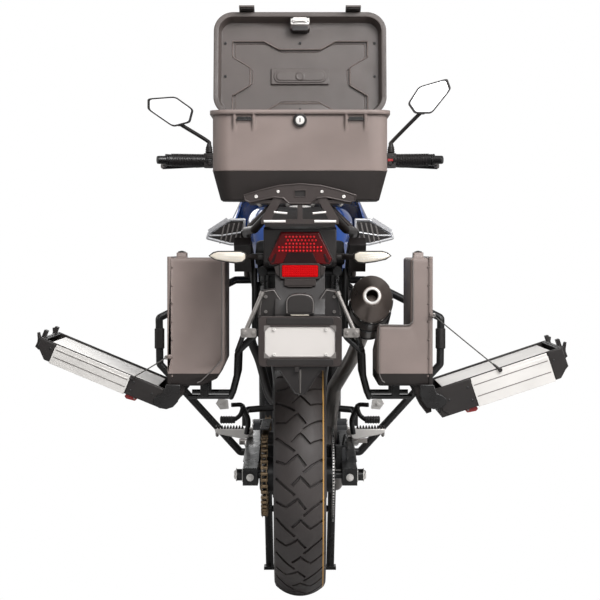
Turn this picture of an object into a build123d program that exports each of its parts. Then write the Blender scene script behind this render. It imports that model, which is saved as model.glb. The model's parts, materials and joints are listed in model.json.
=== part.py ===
"""Adventure motorcycle with a top case and two side cases, their lids open."""
from build123d import *
from math import cos, radians, sin, tan
import os

os.makedirs("parts", exist_ok=True)

# Frame of the model, in millimetres: +X the rider's right, +Y forward, +Z up.
# The origin lies on the floor, under the middle of the machine.

# Wheels
wheelbase = 1400.0
rear_axle_y = -649.0
rear_axle_z = 314.0
rear_tyre_radius = 307.5
rear_tyre_width = 130.0
rear_rim_radius = 193.0
rear_rim_half_width = 44.0
front_tyre_radius = 318.6
front_tyre_width = 100.0
front_rim_radius = 231.0
front_rim_half_width = 33.0
front_axle_y = rear_axle_y + wheelbase
front_axle_z = front_tyre_radius
axle_diameter = 20.0
axle_play = 0.4
hub_radius = 38.0
spoke_count = 5
disc_thickness = 5.0
rear_disc_radius = 120.0
rear_disc_x = 84.0
front_disc_radius = 140.0
front_disc_x = -66.0
sprocket_radius = 94.0

# Steering
rake = 27.0
fork_offset = 45.0
fork_half_width = 100.0
stanchion_diameter = 41.0
slider_diameter = 54.0
stem_diameter = 30.0
head_tube_diameter = 54.0
head_bottom = 565.0
head_top = 725.0
yoke_thickness = 24.0
yoke_gap = 5.0
grip_diameter = 34.0
bar_diameter = 22.0
bar_half_width = 413.0
bar_height = 1149.0
riser_height = 132.0

# Running gear
swingarm_pivot_y = -89.0
swingarm_pivot_z = 360.0
arm_inner = 107.0
arm_width = 38.0
arm_height = 52.0
chain_x = -90.0
chain_width = 17.0
chain_height = 13.0
chain_play = 0.6
front_sprocket_radius = 40.0

# Frame tubes
main_tube = 44.0
cradle_tube = 28.0
rail_tube = 24.0
cradle_half_width = 62.0
cradle_z = 204.0
rail_half_width = 92.0
rail_z = 836.0

# Engine
engine_half_width = 76.0
engine_rear_y = -50.0
engine_front_y = 215.0
seat_gap = 0.3
engine_bottom = cradle_z + cradle_tube / 2 + seat_gap
engine_deck = 455.0
cylinder_top = 690.0
fin_count = 7

# Seat
seat_half_width = 118.5
panel_inner = seat_half_width + seat_gap
panel_outer = panel_inner + 6.0

# Radiator, pegs and front bracket
radiator_y = (290.0, 320.0)
foot_peg_y = -200.0
peg_x = 150.0
peg_top = 406.0
lamp_rear_y = 560.0
panel_bottom = 1075.0

# Top case
case_width = 417.0
case_depth = 254.0
case_rear_y = -1064.0
case_bottom = 1007.0
case_belt = case_bottom + 69.0
case_rim = case_bottom + 214.0
case_wall = 4.0
case_corner = 42.0
rim_overhang = 7.0
rim_height = 10.0
top_lid_height = 56.0
top_lid_lean = 12.0
lid_gap = 0.5
hook_x = 133.0
hook_width = 42.0
fin_width = 7.0
fin_tip_z = case_rim - 57.0
lock_z = case_rim - 25.0
lock_diameter = 33.0
lid_well = 36.0
panel_relief = 5.0

# Side cases
box_rear_y = -949.0
box_length = 400.0
box_bottom = 558.0
box_top = 869.0
box_inner = 183.0
box_mouth = 322.0
box_wall = 4.0
side_lid_length = 330.0
left_lid_depth = 48.0
right_lid_depth = 72.0
side_lid_overlap = 4.0
side_hinge_z = 549.0
flange_depth = 9.0
flange_proud = 3.0
case_edge = 8.0
left_lid_rise = 22.7
right_lid_rise = 18.5
notch_x = 268.0
notch_rear_z = 707.0
pannier_tube = 14.0
rack_post_x = rail_half_width + rail_tube / 2 + pannier_tube / 2 + seat_gap

lip_y = -1066.0

# Tail
tail_rear_y = -992.0
tail_front_y = -760.0
tail_top = 944.0
tail_bottom = rail_z + rail_tube / 2 + seat_gap
plate_width = 172.0
plate_height = 76.0
plate_centre_z = 669.0
plate_y = -1052.0

# Exhaust
pipe_diameter = 38.0
silencer_x = 174.0
silencer_z = 776.0
silencer_rear_y = -979.0
silencer_length = 400.0
silencer_width = 103.0
silencer_height = 118.0
silencer_rise = 10.0

# Stands
stand_pivot_y = -129.0
stand_pivot_z = 250.0
stand_foot_y = -92.0
stand_half_width = 84.0
stand_tube = 22.0
stand_shaft = 24.0
side_stand_pivot_y = 20.0
side_stand_pivot_z = 272.0
side_stand_x = -128.0
side_stand_length = 235.0
side_stand_tilt = 12.0

# Stay cords
cord_diameter = 3.0
cord_y = box_rear_y - 9.0
left_lug_height = 80.0
right_lug_height = 182.0

rear_axle = Vector(0, rear_axle_y, rear_axle_z)
front_axle = Vector(0, front_axle_y, front_axle_z)
steer_up = Vector(0, -sin(radians(rake)), cos(radians(rake)))
steer_ahead = Vector(0, cos(radians(rake)), sin(radians(rake)))
steer_foot = front_axle - steer_ahead * fork_offset


def along_steering(height, side=0.0, ahead=0.0):
    """A point by its height up the steering axis, its side offset and its lead."""
    return steer_foot + steer_up * height + steer_ahead * ahead + Vector(side, 0, 0)


def rod(start, end, diameter, mode=Mode.ADD):
    """A straight round bar from one point to another."""
    a = Vector(start)
    b = Vector(end)
    with BuildSketch(Plane(a, z_dir=b - a)) as section:
        Circle(diameter / 2)
    extrude(section.sketch, amount=(b - a).length, mode=mode)


def bent_tube(points, diameter, bend):
    """A round tube along straight runs joined by arcs of one radius."""
    with BuildLine() as route:
        FilletPolyline(*points, radius=bend)
    with BuildSketch(Plane(route.line @ 0, z_dir=route.line % 0)) as section:
        Circle(diameter / 2)
    sweep(section.sketch, path=route.line)


def block(x, y, z, mode=Mode.ADD):
    """A block between two bounds on each axis."""
    with Locations(((x[0] + x[1]) / 2, (y[0] + y[1]) / 2, (z[0] + z[1]) / 2)):
        Box(abs(x[1] - x[0]), abs(y[1] - y[0]), abs(z[1] - z[0]), mode=mode)


def side_plate(outline, x_start, x_end, mode=Mode.ADD):
    """A plate from an outline of (y, z) points, between two values of x."""
    with BuildSketch(Plane(Vector(x_start, 0, 0), x_dir=(0, 1, 0), z_dir=(1, 0, 0))) as section:
        Polygon(*outline, align=None)
    extrude(section.sketch, amount=x_end - x_start, mode=mode)


def cross_plate(outline, y_start, y_end, mode=Mode.ADD):
    """A plate from an outline of (x, z) points, between two values of y."""
    with BuildSketch(Plane(Vector(0, y_start, 0), x_dir=(1, 0, 0), z_dir=(0, -1, 0))) as section:
        Polygon(*outline, align=None)
    extrude(section.sketch, amount=y_start - y_end, mode=mode)


def mirrored(points, side):
    """The same points with x measured towards one side."""
    return [(side * x, y, z) for x, y, z in points]


def finish(part, name):
    """Label a piece and write it out."""
    part.label = name
    export_step(part, f"parts/{name}.step")


# ---------------------------------------------------------------- wheels
def wheel_section(axle):
    """The plane across a wheel, with x along the axle and y outward."""
    return Plane(axle, x_dir=(1, 0, 0), z_dir=(0, -1, 0))


def wheel_face(axle, x):
    """The plane of a wheel's side at a given x."""
    return Plane(axle + Vector(x, 0, 0), x_dir=(0, 1, 0), z_dir=(1, 0, 0))


def make_tyre(axle, radius, width, rim_radius, rim_half, name):
    shoulder = radius - width * 0.20
    bead_top = rim_radius + 14.0
    with BuildPart() as tyre:
        with BuildSketch(wheel_section(axle)):
            with BuildLine():
                ThreePointArc((-width * 0.47, shoulder), (0, radius), (width * 0.47, shoulder))
                ThreePointArc(
                    (width * 0.47, shoulder),
                    (width / 2, (shoulder + bead_top) / 2),
                    (rim_half, bead_top),
                )
                Line((rim_half, bead_top), (rim_half, rim_radius))
                Line((rim_half, rim_radius), (-rim_half, rim_radius))
                Line((-rim_half, rim_radius), (-rim_half, bead_top))
                ThreePointArc(
                    (-rim_half, bead_top),
                    (-width / 2, (shoulder + bead_top) / 2),
                    (-width * 0.47, shoulder),
                )
            make_face()
        revolve(axis=Axis(axle, (1, 0, 0)))
    finish(tyre.part, name)


def make_wheel(axle, rim_radius, rim_half, hub_half, disc_x, disc_radius, sprocket_x, name):
    seat = rim_radius - 0.4
    well = rim_radius - 18.0
    flange = rim_half + 7.0
    with BuildPart() as wheel:
        with BuildSketch(wheel_section(axle)):
            Polygon(
                (-flange, seat + 12),
                (-rim_half - 0.4, seat + 12),
                (-rim_half - 0.4, seat),
                (rim_half + 0.4, seat),
                (rim_half + 0.4, seat + 12),
                (flange, seat + 12),
                (flange, seat - 5),
                (rim_half * 0.5, well - 8),
                (-rim_half * 0.5, well - 8),
                (-flange, seat - 5),
                align=None,
            )
        revolve(axis=Axis(axle, (1, 0, 0)))
        with BuildSketch(wheel_face(axle, -hub_half)):
            Circle(hub_radius)
        extrude(amount=2 * hub_half)
        reach = well - 8 - hub_radius
        with BuildSketch(wheel_face(axle, -13)):
            with PolarLocations(hub_radius + reach / 2, spoke_count):
                with Locations((0, 17), (0, -17)):
                    Rectangle(reach + 12, 17)
        extrude(amount=26)
        with BuildSketch(wheel_face(axle, disc_x - disc_thickness / 2)):
            Circle(disc_radius)
            Circle(disc_radius * 0.66, mode=Mode.SUBTRACT)
        extrude(amount=disc_thickness)
        hub_end = hub_half if disc_x > 0 else -hub_half
        carrier = sorted((hub_end * 0.9, disc_x + disc_thickness / 2 * (1 if disc_x > 0 else -1)))
        with BuildSketch(wheel_face(axle, carrier[0])):
            Circle(hub_radius + 6)
        extrude(amount=carrier[1] - carrier[0])
        with BuildSketch(wheel_face(axle, disc_x - disc_thickness / 2)):
            with PolarLocations(disc_radius * 0.5, spoke_count):
                Rectangle(disc_radius * 0.62, 16)
        extrude(amount=disc_thickness)
        if sprocket_x is not None:
            with BuildSketch(wheel_face(axle, sprocket_x - 3)):
                Circle(sprocket_radius)
            extrude(amount=6)
            with BuildSketch(wheel_face(axle, sprocket_x)):
                Circle(hub_radius + 8)
            extrude(amount=-hub_half * 0.9 - sprocket_x)
        with BuildSketch(wheel_face(axle, -200)):
            Circle(axle_diameter / 2 + axle_play)
        extrude(amount=400, mode=Mode.SUBTRACT)
    finish(wheel.part, name)


make_tyre(rear_axle, rear_tyre_radius, rear_tyre_width, rear_rim_radius, rear_rim_half_width, "rear_tyre")
make_tyre(
    front_axle, front_tyre_radius, front_tyre_width, front_rim_radius, front_rim_half_width, "front_tyre"
)
make_wheel(
    rear_axle, rear_rim_radius, rear_rim_half_width, 72.0, rear_disc_x, rear_disc_radius, chain_x, "rear_wheel"
)
make_wheel(
    front_axle, front_rim_radius, front_rim_half_width, 52.0, front_disc_x, front_disc_radius, None, "front_wheel"
)

# ---------------------------------------------------------------- swingarm, chain and frame
with BuildPart() as swingarm:
    for side in (-1, 1):
        outer = side * (arm_inner + arm_width)
        inner = side * arm_inner
        side_plate(
            [
                (rear_axle_y - 62, rear_axle_z - 22),
                (rear_axle_y + 60, rear_axle_z - arm_height / 2),
                (swingarm_pivot_y, swingarm_pivot_z - arm_height / 2),
                (swingarm_pivot_y + 26, swingarm_pivot_z),
                (swingarm_pivot_y, swingarm_pivot_z + arm_height / 2),
                (rear_axle_y + 60, rear_axle_z + arm_height / 2),
                (rear_axle_y - 62, rear_axle_z + 22),
            ],
            inner,
            outer,
        )
        nut = side * (arm_inner + arm_width + 16)
        rod((inner, rear_axle_y, rear_axle_z), (nut, rear_axle_y, rear_axle_z), 30)
        block((inner + side * 12, outer - side * 12), (rear_axle_y - 76, rear_axle_y - 60),
              (rear_axle_z - 6, rear_axle_z + 6))
    rod((-arm_inner - 20, rear_axle_y, rear_axle_z), (arm_inner + 20, rear_axle_y, rear_axle_z), axle_diameter)
    caliper_y = (rear_axle_y + 78, rear_axle_y + 128)
    block((rear_disc_x + 8, arm_inner + 1), caliper_y, (rear_axle_z + 6, rear_axle_z + 66))
    block((rear_disc_x - 24, rear_disc_x - 8), caliper_y, (rear_axle_z + 6, rear_axle_z + 66))
    block((rear_disc_x - 24, arm_inner + 1), (rear_axle_y + 126, rear_axle_y + 142),
          (rear_axle_z + 6, rear_axle_z + 66))
    brace_y = rear_axle_y + rear_tyre_radius + 22
    block((-arm_inner - 4, arm_inner + 4), (brace_y, brace_y + 34), (318, 362))
    block((-20, 20), (brace_y + 8, brace_y + 30), (361, 375))
    guard_x = (chain_x - chain_width / 2 - 3, chain_x + chain_width / 2 + 3)
    guard_z = rear_axle_z + sprocket_radius + chain_height + 9
    side_plate(
        [
            (rear_axle_y - 30, guard_z + 4),
            (brace_y + 40, guard_z + 1),
            (brace_y + 40, guard_z - 3),
            (rear_axle_y - 30, guard_z),
        ],
        guard_x[0],
        guard_x[1],
    )
    side_plate(
        [(brace_y + 4, 352), (brace_y + 30, 352), (brace_y + 24, guard_z), (brace_y + 10, guard_z)],
        guard_x[0] - 6,
        guard_x[0] + 1,
    )
finish(swingarm.part, "swingarm")

with BuildPart() as drive_chain:
    front_centre = Vector(swingarm_pivot_y + 75, swingarm_pivot_z + 5)
    rear_centre = Vector(rear_axle_y, rear_axle_z)
    inner_rear = sprocket_radius + chain_play
    inner_front = front_sprocket_radius
    plane = Plane((chain_x - chain_width / 2, 0, 0), x_dir=(0, 1, 0), z_dir=(1, 0, 0))
    with BuildSketch(plane):
        with BuildSketch(mode=Mode.PRIVATE) as outer_loop:
            with Locations((rear_centre.X, rear_centre.Y)):
                Circle(inner_rear + chain_height)
            with Locations((front_centre.X, front_centre.Y)):
                Circle(inner_front + chain_height)
            make_hull()
        with BuildSketch(mode=Mode.PRIVATE) as inner_loop:
            with Locations((rear_centre.X, rear_centre.Y)):
                Circle(inner_rear)
            with Locations((front_centre.X, front_centre.Y)):
                Circle(inner_front)
            make_hull()
        add(outer_loop.sketch)
        add(inner_loop.sketch, mode=Mode.SUBTRACT)
    extrude(amount=chain_width)
finish(drive_chain.part, "drive_chain")

with BuildPart() as main_frame:
    rod(along_steering(head_bottom), along_steering(head_top), head_tube_diameter)
    neck = along_steering((head_bottom + head_top) / 2)
    rod(neck, (0, -40, 790), main_tube)
    down_top = along_steering(head_bottom + 70)
    rod(down_top, (0, 246, 300), main_tube * 0.9)
    block((-112, 112), (232, 262), (282, 312))
    block((-112, 112), (-62, -22), (745, 790))
    block((-60, 60), (-62, -56), (788, 810.8))
    for side in (-1, 1):
        x = side * cradle_half_width
        bent_tube(
            [(x, 247, 306), (x, 236, cradle_z), (x, -86, cradle_z), (x, -86, 735), (x, -40, 742)],
            cradle_tube,
            20,
        )
        rail = side * rail_half_width
        bent_tube([(rail, -50, 752), (rail, -400, 745), (rail, -700, rail_z), (rail, -890, rail_z)], rail_tube, 60)
        rod((x, -86, 500), (rail, -520, 776), rail_tube * 0.8)
        rod((side * 70, swingarm_pivot_y, swingarm_pivot_z),
            (side * (arm_inner - seat_gap), swingarm_pivot_y, swingarm_pivot_z), 44)
        bent_tube([(x, -86, 450), (side * peg_x, foot_peg_y, 450), (side * peg_x, foot_peg_y, peg_top + seat_gap)],
                  18, 14)
        side_plate(
            [(-76, 196), (-76, 300), (-140, 272), (-152, 250), (-140, 228)],
            side * (cradle_half_width + 4),
            side * (cradle_half_width + 14),
        )
        rod((side * 60, stand_pivot_y, stand_pivot_z), (side * 90, stand_pivot_y, stand_pivot_z),
            stand_shaft + 0.8, Mode.SUBTRACT)
    rod((-rail_half_width, -740, rail_z), (rail_half_width, -740, rail_z), rail_tube)
    rod((-rail_half_width, -380, 746), (rail_half_width, -380, 746), rail_tube)
    rod((-80, swingarm_pivot_y, swingarm_pivot_z), (80, swingarm_pivot_y, swingarm_pivot_z), 24)
    rod((0, -380, 740), (0, brace_y + 19, 381), 46)
    rod(along_steering(640), along_steering(640, 0, 134), 30)
    block((-60, 60), (534, lamp_rear_y - seat_gap), (912, 946))
    rod((0, 546, 935), (0, 432, 1060), 16)
    block((-30, 30), (404, 440), (1056, panel_bottom - seat_gap))
    block((-14, 14), (radiator_y[1] + seat_gap, 358), (690, 720))
    side_axis = Vector(cos(radians(side_stand_tilt)), 0, -sin(radians(side_stand_tilt)))
    stand_pivot = Vector(side_stand_x, side_stand_pivot_y, side_stand_pivot_z)
    rod(stand_pivot + side_axis * (12 + seat_gap), stand_pivot + side_axis * 32, 30)
    bent_tube([(-cradle_half_width, side_stand_pivot_y, cradle_z), (-104, side_stand_pivot_y, cradle_z),
               stand_pivot + side_axis * 22], 20, 12)
    block((100, silencer_x - silencer_width / 2 - seat_gap), (-775, -745), (722, 742))
    block((98, 108), (-775, -745), (722, 838))
    rod(along_steering(head_bottom - 1), along_steering(head_top + 1), stem_diameter + 1, Mode.SUBTRACT)
finish(main_frame.part, "main_frame")

# ---------------------------------------------------------------- engine, radiator and exhaust
with BuildPart() as engine:
    side_plate(
        [
            (engine_rear_y, engine_bottom + 40),
            (engine_rear_y + 40, engine_bottom),
            (engine_front_y - 30, engine_bottom),
            (engine_front_y, engine_bottom + 50),
            (engine_front_y, engine_deck - 30),
            (engine_front_y - 60, engine_deck),
            (engine_rear_y + 30, engine_deck - 40),
            (engine_rear_y, engine_deck - 90),
        ],
        -engine_half_width,
        engine_half_width,
    )
    for side, y, z, radius in ((-1, 150, 330, 70), (1, 145, 330, 72), (1, 35, 330, 60)):
        rod((side * (engine_half_width - 1), y, z), (side * (engine_half_width + 58), y, z), 2 * radius)
    for i in range(fin_count):
        z = engine_deck + 6 + i * 18
        block((-66, 66), (75, 205), (z, z + 7))
    block((-56, 56), (85, 195), (engine_deck - 20, engine_deck + fin_count * 18))
    block((-72, 72), (68, 212), (engine_deck + fin_count * 18, cylinder_top))
finish(engine.part, "engine")

with BuildPart() as radiator:
    block((-130, 130), radiator_y, (637, 780))
    block((-142, -130), radiator_y, (632, 785))
    block((130, 142), radiator_y, (632, 785))
    for i in range(8):
        z = 648 + i * 16
        block((-128, 128), (radiator_y[0] - 4, radiator_y[0]), (z, z + 5))
finish(radiator.part, "radiator")

slope = tan(radians(silencer_rise))
silencer_back = Vector(silencer_x, silencer_rear_y, silencer_z)
silencer_way = Vector(0, cos(radians(silencer_rise)), -sin(radians(silencer_rise)))
silencer_mouth = silencer_back + silencer_way * silencer_length
with BuildPart() as exhaust_pipe:
    bent_tube(
        [
            (50, 212.4, 600),
            (50, 262, 600),
            (52, 292, 430),
            (62, 296, 296),
            (100, 262, 230),
            (100, -50, 232),
            (98, -125, 300),
            (82, -190, 332),
            (82, -236, 420),
            (92, -330, 520),
            (138, -430, 604),
            silencer_mouth + silencer_way * 60,
            silencer_mouth + silencer_way * seat_gap,
        ],
        pipe_diameter,
        22,
    )
finish(exhaust_pipe.part, "exhaust_pipe")

with BuildPart() as silencer:
    stations = (
        (0.0, 0.42),
        (42.0, 0.98),
        (60.0, 1.0),
        (silencer_length - 70.0, 1.0),
        (silencer_length, 0.46),
    )
    for distance, share in stations:
        with BuildSketch(Plane(silencer_back + silencer_way * distance, x_dir=(1, 0, 0), z_dir=silencer_way)):
            Ellipse(silencer_width / 2 * share, silencer_height / 2 * share)
    loft(ruled=True)
    rod(silencer_back - silencer_way * 10, silencer_back + silencer_way * 30, 45)
    rod(silencer_back - silencer_way * 11, silencer_back + silencer_way * 60, 28, Mode.SUBTRACT)
finish(silencer.part, "silencer")

# ---------------------------------------------------------------- tank, seat and body panels
tank_sections = (
    (-62.0, 216.0, 812.0, 876.0, 26.0),
    (60.0, 286.0, 792.0, 985.0, 44.0),
    (210.0, 296.0, 800.0, 1012.0, 48.0),
    (296.0, 236.0, 850.0, 985.0, 40.0),
)
with BuildPart() as fuel_tank:
    for y, width, low, high, corner in tank_sections:
        with BuildSketch(Plane((0, y, (low + high) / 2), x_dir=(1, 0, 0), z_dir=(0, -1, 0))):
            RectangleRounded(width, high - low, corner)
    loft()
    side_plate(
        [(-100, 700), (-100, 826), (330, 926), (330, 700)], -main_tube / 2 - 6, main_tube / 2 + 6,
        Mode.SUBTRACT,
    )
finish(fuel_tank.part, "fuel_tank")

with BuildPart() as seat:
    side_plate(
        [
            (-68, 806),
            (-64, 850),
            (-120, 812),
            (-250, 802),
            (-370, 826),
            (-440, 878),
            (-700, 912),
            (-745, 884),
            (-745, rail_z + 13),
            (-690, rail_z + 13),
            (-395, 759),
            (-68, 766),
        ],
        -seat_half_width,
        seat_half_width,
    )
    fillet(seat.edges().filter_by(Axis.Y, reverse=True).filter_by(Axis.X, reverse=True).group_by(Axis.Z)[-1], 8)
finish(seat.part, "seat")

with BuildPart() as side_panels:
    for side in (-1, 1):
        side_plate(
            [(-330, 742), (-300, 800), (-560, 880), (-950, 918), (-968, 900), (-900, 835), (-620, 800)],
            side * panel_inner,
            side * panel_outer,
        )
        side_plate([(-700, 838), (-700, 893), (-950, 918), (-968, 900), (-900, 835)], side * panel_outer, side * 160)
        block((side * panel_outer, side * (138 - 10 - seat_gap)), (-440, -420), (812, 834))
finish(side_panels.part, "side_panels")


def nose_section(z, half_width, rear_y, front_y, thickness=None):
    """One level of the nose: a bow in plan, solid or as a skin."""
    with BuildSketch(Plane.XY.offset(z)) as level:
        with BuildLine():
            ThreePointArc((-half_width, rear_y), (0, front_y), (half_width, rear_y))
            if thickness is None:
                Line((half_width, rear_y), (-half_width, rear_y))
            else:
                inner = half_width - thickness
                Line((half_width, rear_y), (inner, rear_y))
                ThreePointArc((inner, rear_y), (0, front_y - thickness), (-inner, rear_y))
                Line((-inner, rear_y), (-half_width, rear_y))
        make_face()
    return level.sketch


nose_levels = ((846.0, 156.0, 420.0, 600.0), (940.0, 204.0, 330.0, 650.0), (1062.0, 168.0, 400.0, 575.0))
nose_skin = 5.0
lamp_half_width = 118.0
lamp_bottom = 884.0
lamp_top = 984.0
with BuildPart() as front_fairing:
    loft([nose_section(*level, thickness=nose_skin) for level in nose_levels], ruled=True)
    block((-lamp_half_width - 0.5, lamp_half_width + 0.5), (lamp_rear_y - 60, 700),
          (lamp_bottom - 0.5, lamp_top + 0.5), Mode.SUBTRACT)
finish(front_fairing.part, "front_fairing")

with BuildPart() as headlamps:
    loft([nose_section(*level) for level in nose_levels], ruled=True)
    block((-lamp_half_width, lamp_half_width), (lamp_rear_y, 700), (lamp_bottom, lamp_top), Mode.INTERSECT)
finish(headlamps.part, "headlamps")

with BuildPart() as windscreen:
    screen_foot = nose_section(1062.4, 167.0, 402.0, 574.0, thickness=4.0)
    screen_top = nose_section(1300.0, 120.0, 385.0, 440.0, thickness=4.0)
    loft([screen_foot, screen_top], ruled=True)
finish(windscreen.part, "windscreen")

with BuildPart() as side_vents:
    for side in (-1, 1):
        cross_plate(
            [(side * 160, 905), (side * 200, 905), (side * 267, 922), (side * 262, 938), (side * 200, 975),
             (side * 160, 975)],
            300,
            150,
        )
        block((side * 149.7, side * 161), (200, 216), (930, 950))
        for i in range(3):
            block((side * 165, side * 250), (120, 175), (915 + i * 18, 921 + i * 18), Mode.SUBTRACT)
finish(side_vents.part, "side_vents")

with BuildPart() as instrument_panel:
    side_plate([(404, panel_bottom), (428, panel_bottom), (446, 1150), (426, 1155)], -85, 85)
finish(instrument_panel.part, "instrument_panel")

with BuildPart() as crash_bars:
    for side in (-1, 1):
        bent_tube(
            mirrored(
                [(112.4, 247, 297), (175, 247, 297), (409, 231, 555), (411, 231, 690), (190, 300, 800),
                 (40, 384, 800), (20.4, 384, 800)],
                side,
            ),
            22,
            9,
        )
finish(crash_bars.part, "crash_bars")

with BuildPart() as foot_pegs:
    for side in (-1, 1):
        block((side * (peg_x - 21), side * peg_x), (foot_peg_y - 15, foot_peg_y + 15), (382, peg_top - 2))
        block((side * (peg_x - 10), side * 233), (foot_peg_y - 22, foot_peg_y + 22), (388, peg_top))
finish(foot_pegs.part, "foot_pegs")

# ---------------------------------------------------------------- tail
def lens_plate(grow, y_start, y_end, mode=Mode.ADD):
    """The tail lamp's lens, narrow at the top and wide below, grown on all sides by a gap."""
    outline = [(-46, tail_top - 13), (46, tail_top - 13), (77, tail_bottom + 18), (70, tail_bottom + 5),
               (-70, tail_bottom + 5), (-77, tail_bottom + 18)]
    with BuildSketch(Plane(Vector(0, y_start, 0), x_dir=(1, 0, 0), z_dir=(0, -1, 0))) as lens:
        Polygon(*outline, align=None)
        if grow > 0:
            offset(amount=grow, kind=Kind.INTERSECTION)
    extrude(lens.sketch, amount=y_start - y_end, mode=mode)


with BuildPart() as tail_housing:
    side_plate(
        [(tail_rear_y, tail_bottom + 10), (tail_rear_y, tail_top - 6), (tail_rear_y + 30, tail_top),
         (tail_front_y, tail_top - 22), (tail_front_y, tail_bottom), (tail_rear_y + 20, tail_bottom)],
        -88,
        88,
    )
    lens_plate(seat_gap, tail_rear_y + 19 + seat_gap, tail_rear_y - 1, Mode.SUBTRACT)
finish(tail_housing.part, "tail_housing")

with BuildPart() as tail_light:
    lens_plate(0, tail_rear_y + 19, tail_rear_y - 8)
finish(tail_light.part, "tail_light")

with BuildPart() as reflector:
    block((-44, 44), (-1004, -996), (822, tail_bottom + 4.3))
finish(reflector.part, "reflector")

with BuildPart() as rear_mudguard:
    side_plate(
        [(-700, 700), (-690, 760), (-800, 840), (-990, 848), (-995.5, 822), (-1044, 735), (-1044, 600),
         (-1030, 600), (-1030, 735), (-975, 800), (-800, 760)],
        -60,
        60,
    )
    cross_plate([(-plate_width / 2 - 14, 610), (plate_width / 2 + 14, 610), (plate_width / 2 + 14, 730),
                 (-plate_width / 2 - 14, 730)], -1040, -1050)
    cross_plate([(-48, 600), (48, 600), (12, 545), (0, 541), (-12, 545)], -1036, -1044)
    cross_plate([(-56, 850), (56, 850), (54, 826), (36, 806), (-36, 806), (-54, 826)], -989, -995.7)
    for side in (-1, 1):
        cross_plate(
            [(side * 30, 726), (side * 102, 726), (side * 102, 744), (side * 94, 792), (side * 62, 797),
             (side * 34, 756)],
            -1016,
            -1024,
        )
    cross_plate([(-34, 735), (34, 735), (34, 768), (22, 782), (-22, 782), (-34, 768)], -1030, -1058)
finish(rear_mudguard.part, "rear_mudguard")

with BuildPart() as number_plate:
    half = plate_width / 2
    low = plate_centre_z - plate_height / 2
    block((-half, half), (plate_y, plate_y + 1.6), (low, low + plate_height))
finish(number_plate.part, "number_plate")

with BuildPart() as rear_indicators:
    for side in (-1, 1):
        cross_plate(
            [(side * 128, 862), (side * 150, 855), (side * 205, 864), (side * 219, 874), (side * 200, 886),
             (side * 140, 886), (side * 128, 878)],
            -1015,
            -1045,
        )
        rod((side * 88.3, -972, 872), (side * 106, -972, 872), 14)
        rod((side * 101, -972, 872), (side * 135, -1030, 871), 14)
finish(rear_indicators.part, "rear_indicators")

rack_top = case_bottom - seat_gap
lip_half = [(0, 38), (48, 34), (91, 24), (133, 11), (130, -1), (119, -5), (62, 7), (40, 5), (26, -8)]
lip_outline = [(x, rack_top + z) for x, z in lip_half] + [(-x, rack_top + z) for x, z in reversed(lip_half[1:])]
with BuildPart() as luggage_rack:
    block((-122, 122), (-1067, -800), (rack_top - 8, rack_top))
    cross_plate(lip_outline, lip_y, lip_y - 8)
    block((-13, 13), (lip_y - 9, lip_y + 1), (rack_top + 7, rack_top + 23), Mode.SUBTRACT)
    for side in (-1, 1):
        bent_tube(
            mirrored([(58, -1020, rack_top - 11), (66, -985, rack_top - 22), (112, -900, 938), (134, -780, 936),
                      (138, -480, 896), (138, -430, 822)], side),
            20,
            14,
        )
        rod((side * 126, -800, 944), (side * 70, -845, rack_top - 10), 16)
        cross_plate(
            [(side * 40, rack_top + 5), (side * 62, rack_top + 7), (side * 92, 962), (side * 92, 950),
             (side * 8, 950), (side * 8, 961), (side * 68, 961)],
            lip_y,
            lip_y - 6,
        )
    cross_plate([(-9, 950), (9, 950), (9, 961), (-9, 961)], lip_y, lip_y - 6)
    block((-6, 6), (lip_y - 6, lip_y), (960, rack_top - 4))
finish(luggage_rack.part, "luggage_rack")

# ---------------------------------------------------------------- top case
case_front_y = case_rear_y + case_depth
case_mid_y = case_rear_y + case_depth / 2


def rounded_level(z, width, depth, corner, centre_y):
    """One level of a case: a rounded rectangle in plan."""
    with BuildSketch(Plane((0, centre_y, z), z_dir=(0, 0, 1))) as level:
        RectangleRounded(width, depth, corner)
    return level.sketch


with BuildPart() as top_case:
    foot = rounded_level(case_bottom, case_width - 38, case_depth - 20, case_corner - 12, case_mid_y)
    belt = rounded_level(case_belt, case_width, case_depth, case_corner, case_mid_y)
    loft([foot, belt], ruled=True)
    extrude(belt, amount=case_rim - case_belt)
    rim = rounded_level(case_rim - rim_height, case_width + 2 * rim_overhang, case_depth + 2 * rim_overhang,
                        case_corner + rim_overhang, case_mid_y)
    extrude(rim, amount=rim_height)
    well = rounded_level(case_bottom + case_wall, case_width - 38 - 2 * case_wall, case_depth - 20 - 2 * case_wall,
                         case_corner - 12 - case_wall, case_mid_y)
    inside = rounded_level(case_belt, case_width - 2 * case_wall, case_depth - 2 * case_wall,
                           case_corner - case_wall, case_mid_y)
    loft([well, inside], ruled=True, mode=Mode.SUBTRACT)
    extrude(inside, amount=case_rim - case_belt + 1, mode=Mode.SUBTRACT)
    for side in (-1, 1):
        for offset in (-23, 23):
            x = side * hook_x + offset
            side_plate(
                [(case_rear_y + 1, case_rim - rim_height + 1), (case_rear_y - 6, case_rim - rim_height + 1),
                 (case_rear_y - 6, case_rim - rim_height - 18), (case_rear_y + 1, fin_tip_z)],
                x - fin_width / 2,
                x + fin_width / 2,
            )
    rod((0, case_rear_y + 1, lock_z), (0, case_rear_y - 4, lock_z), lock_diameter)
finish(top_case.part, "top_case")

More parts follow.
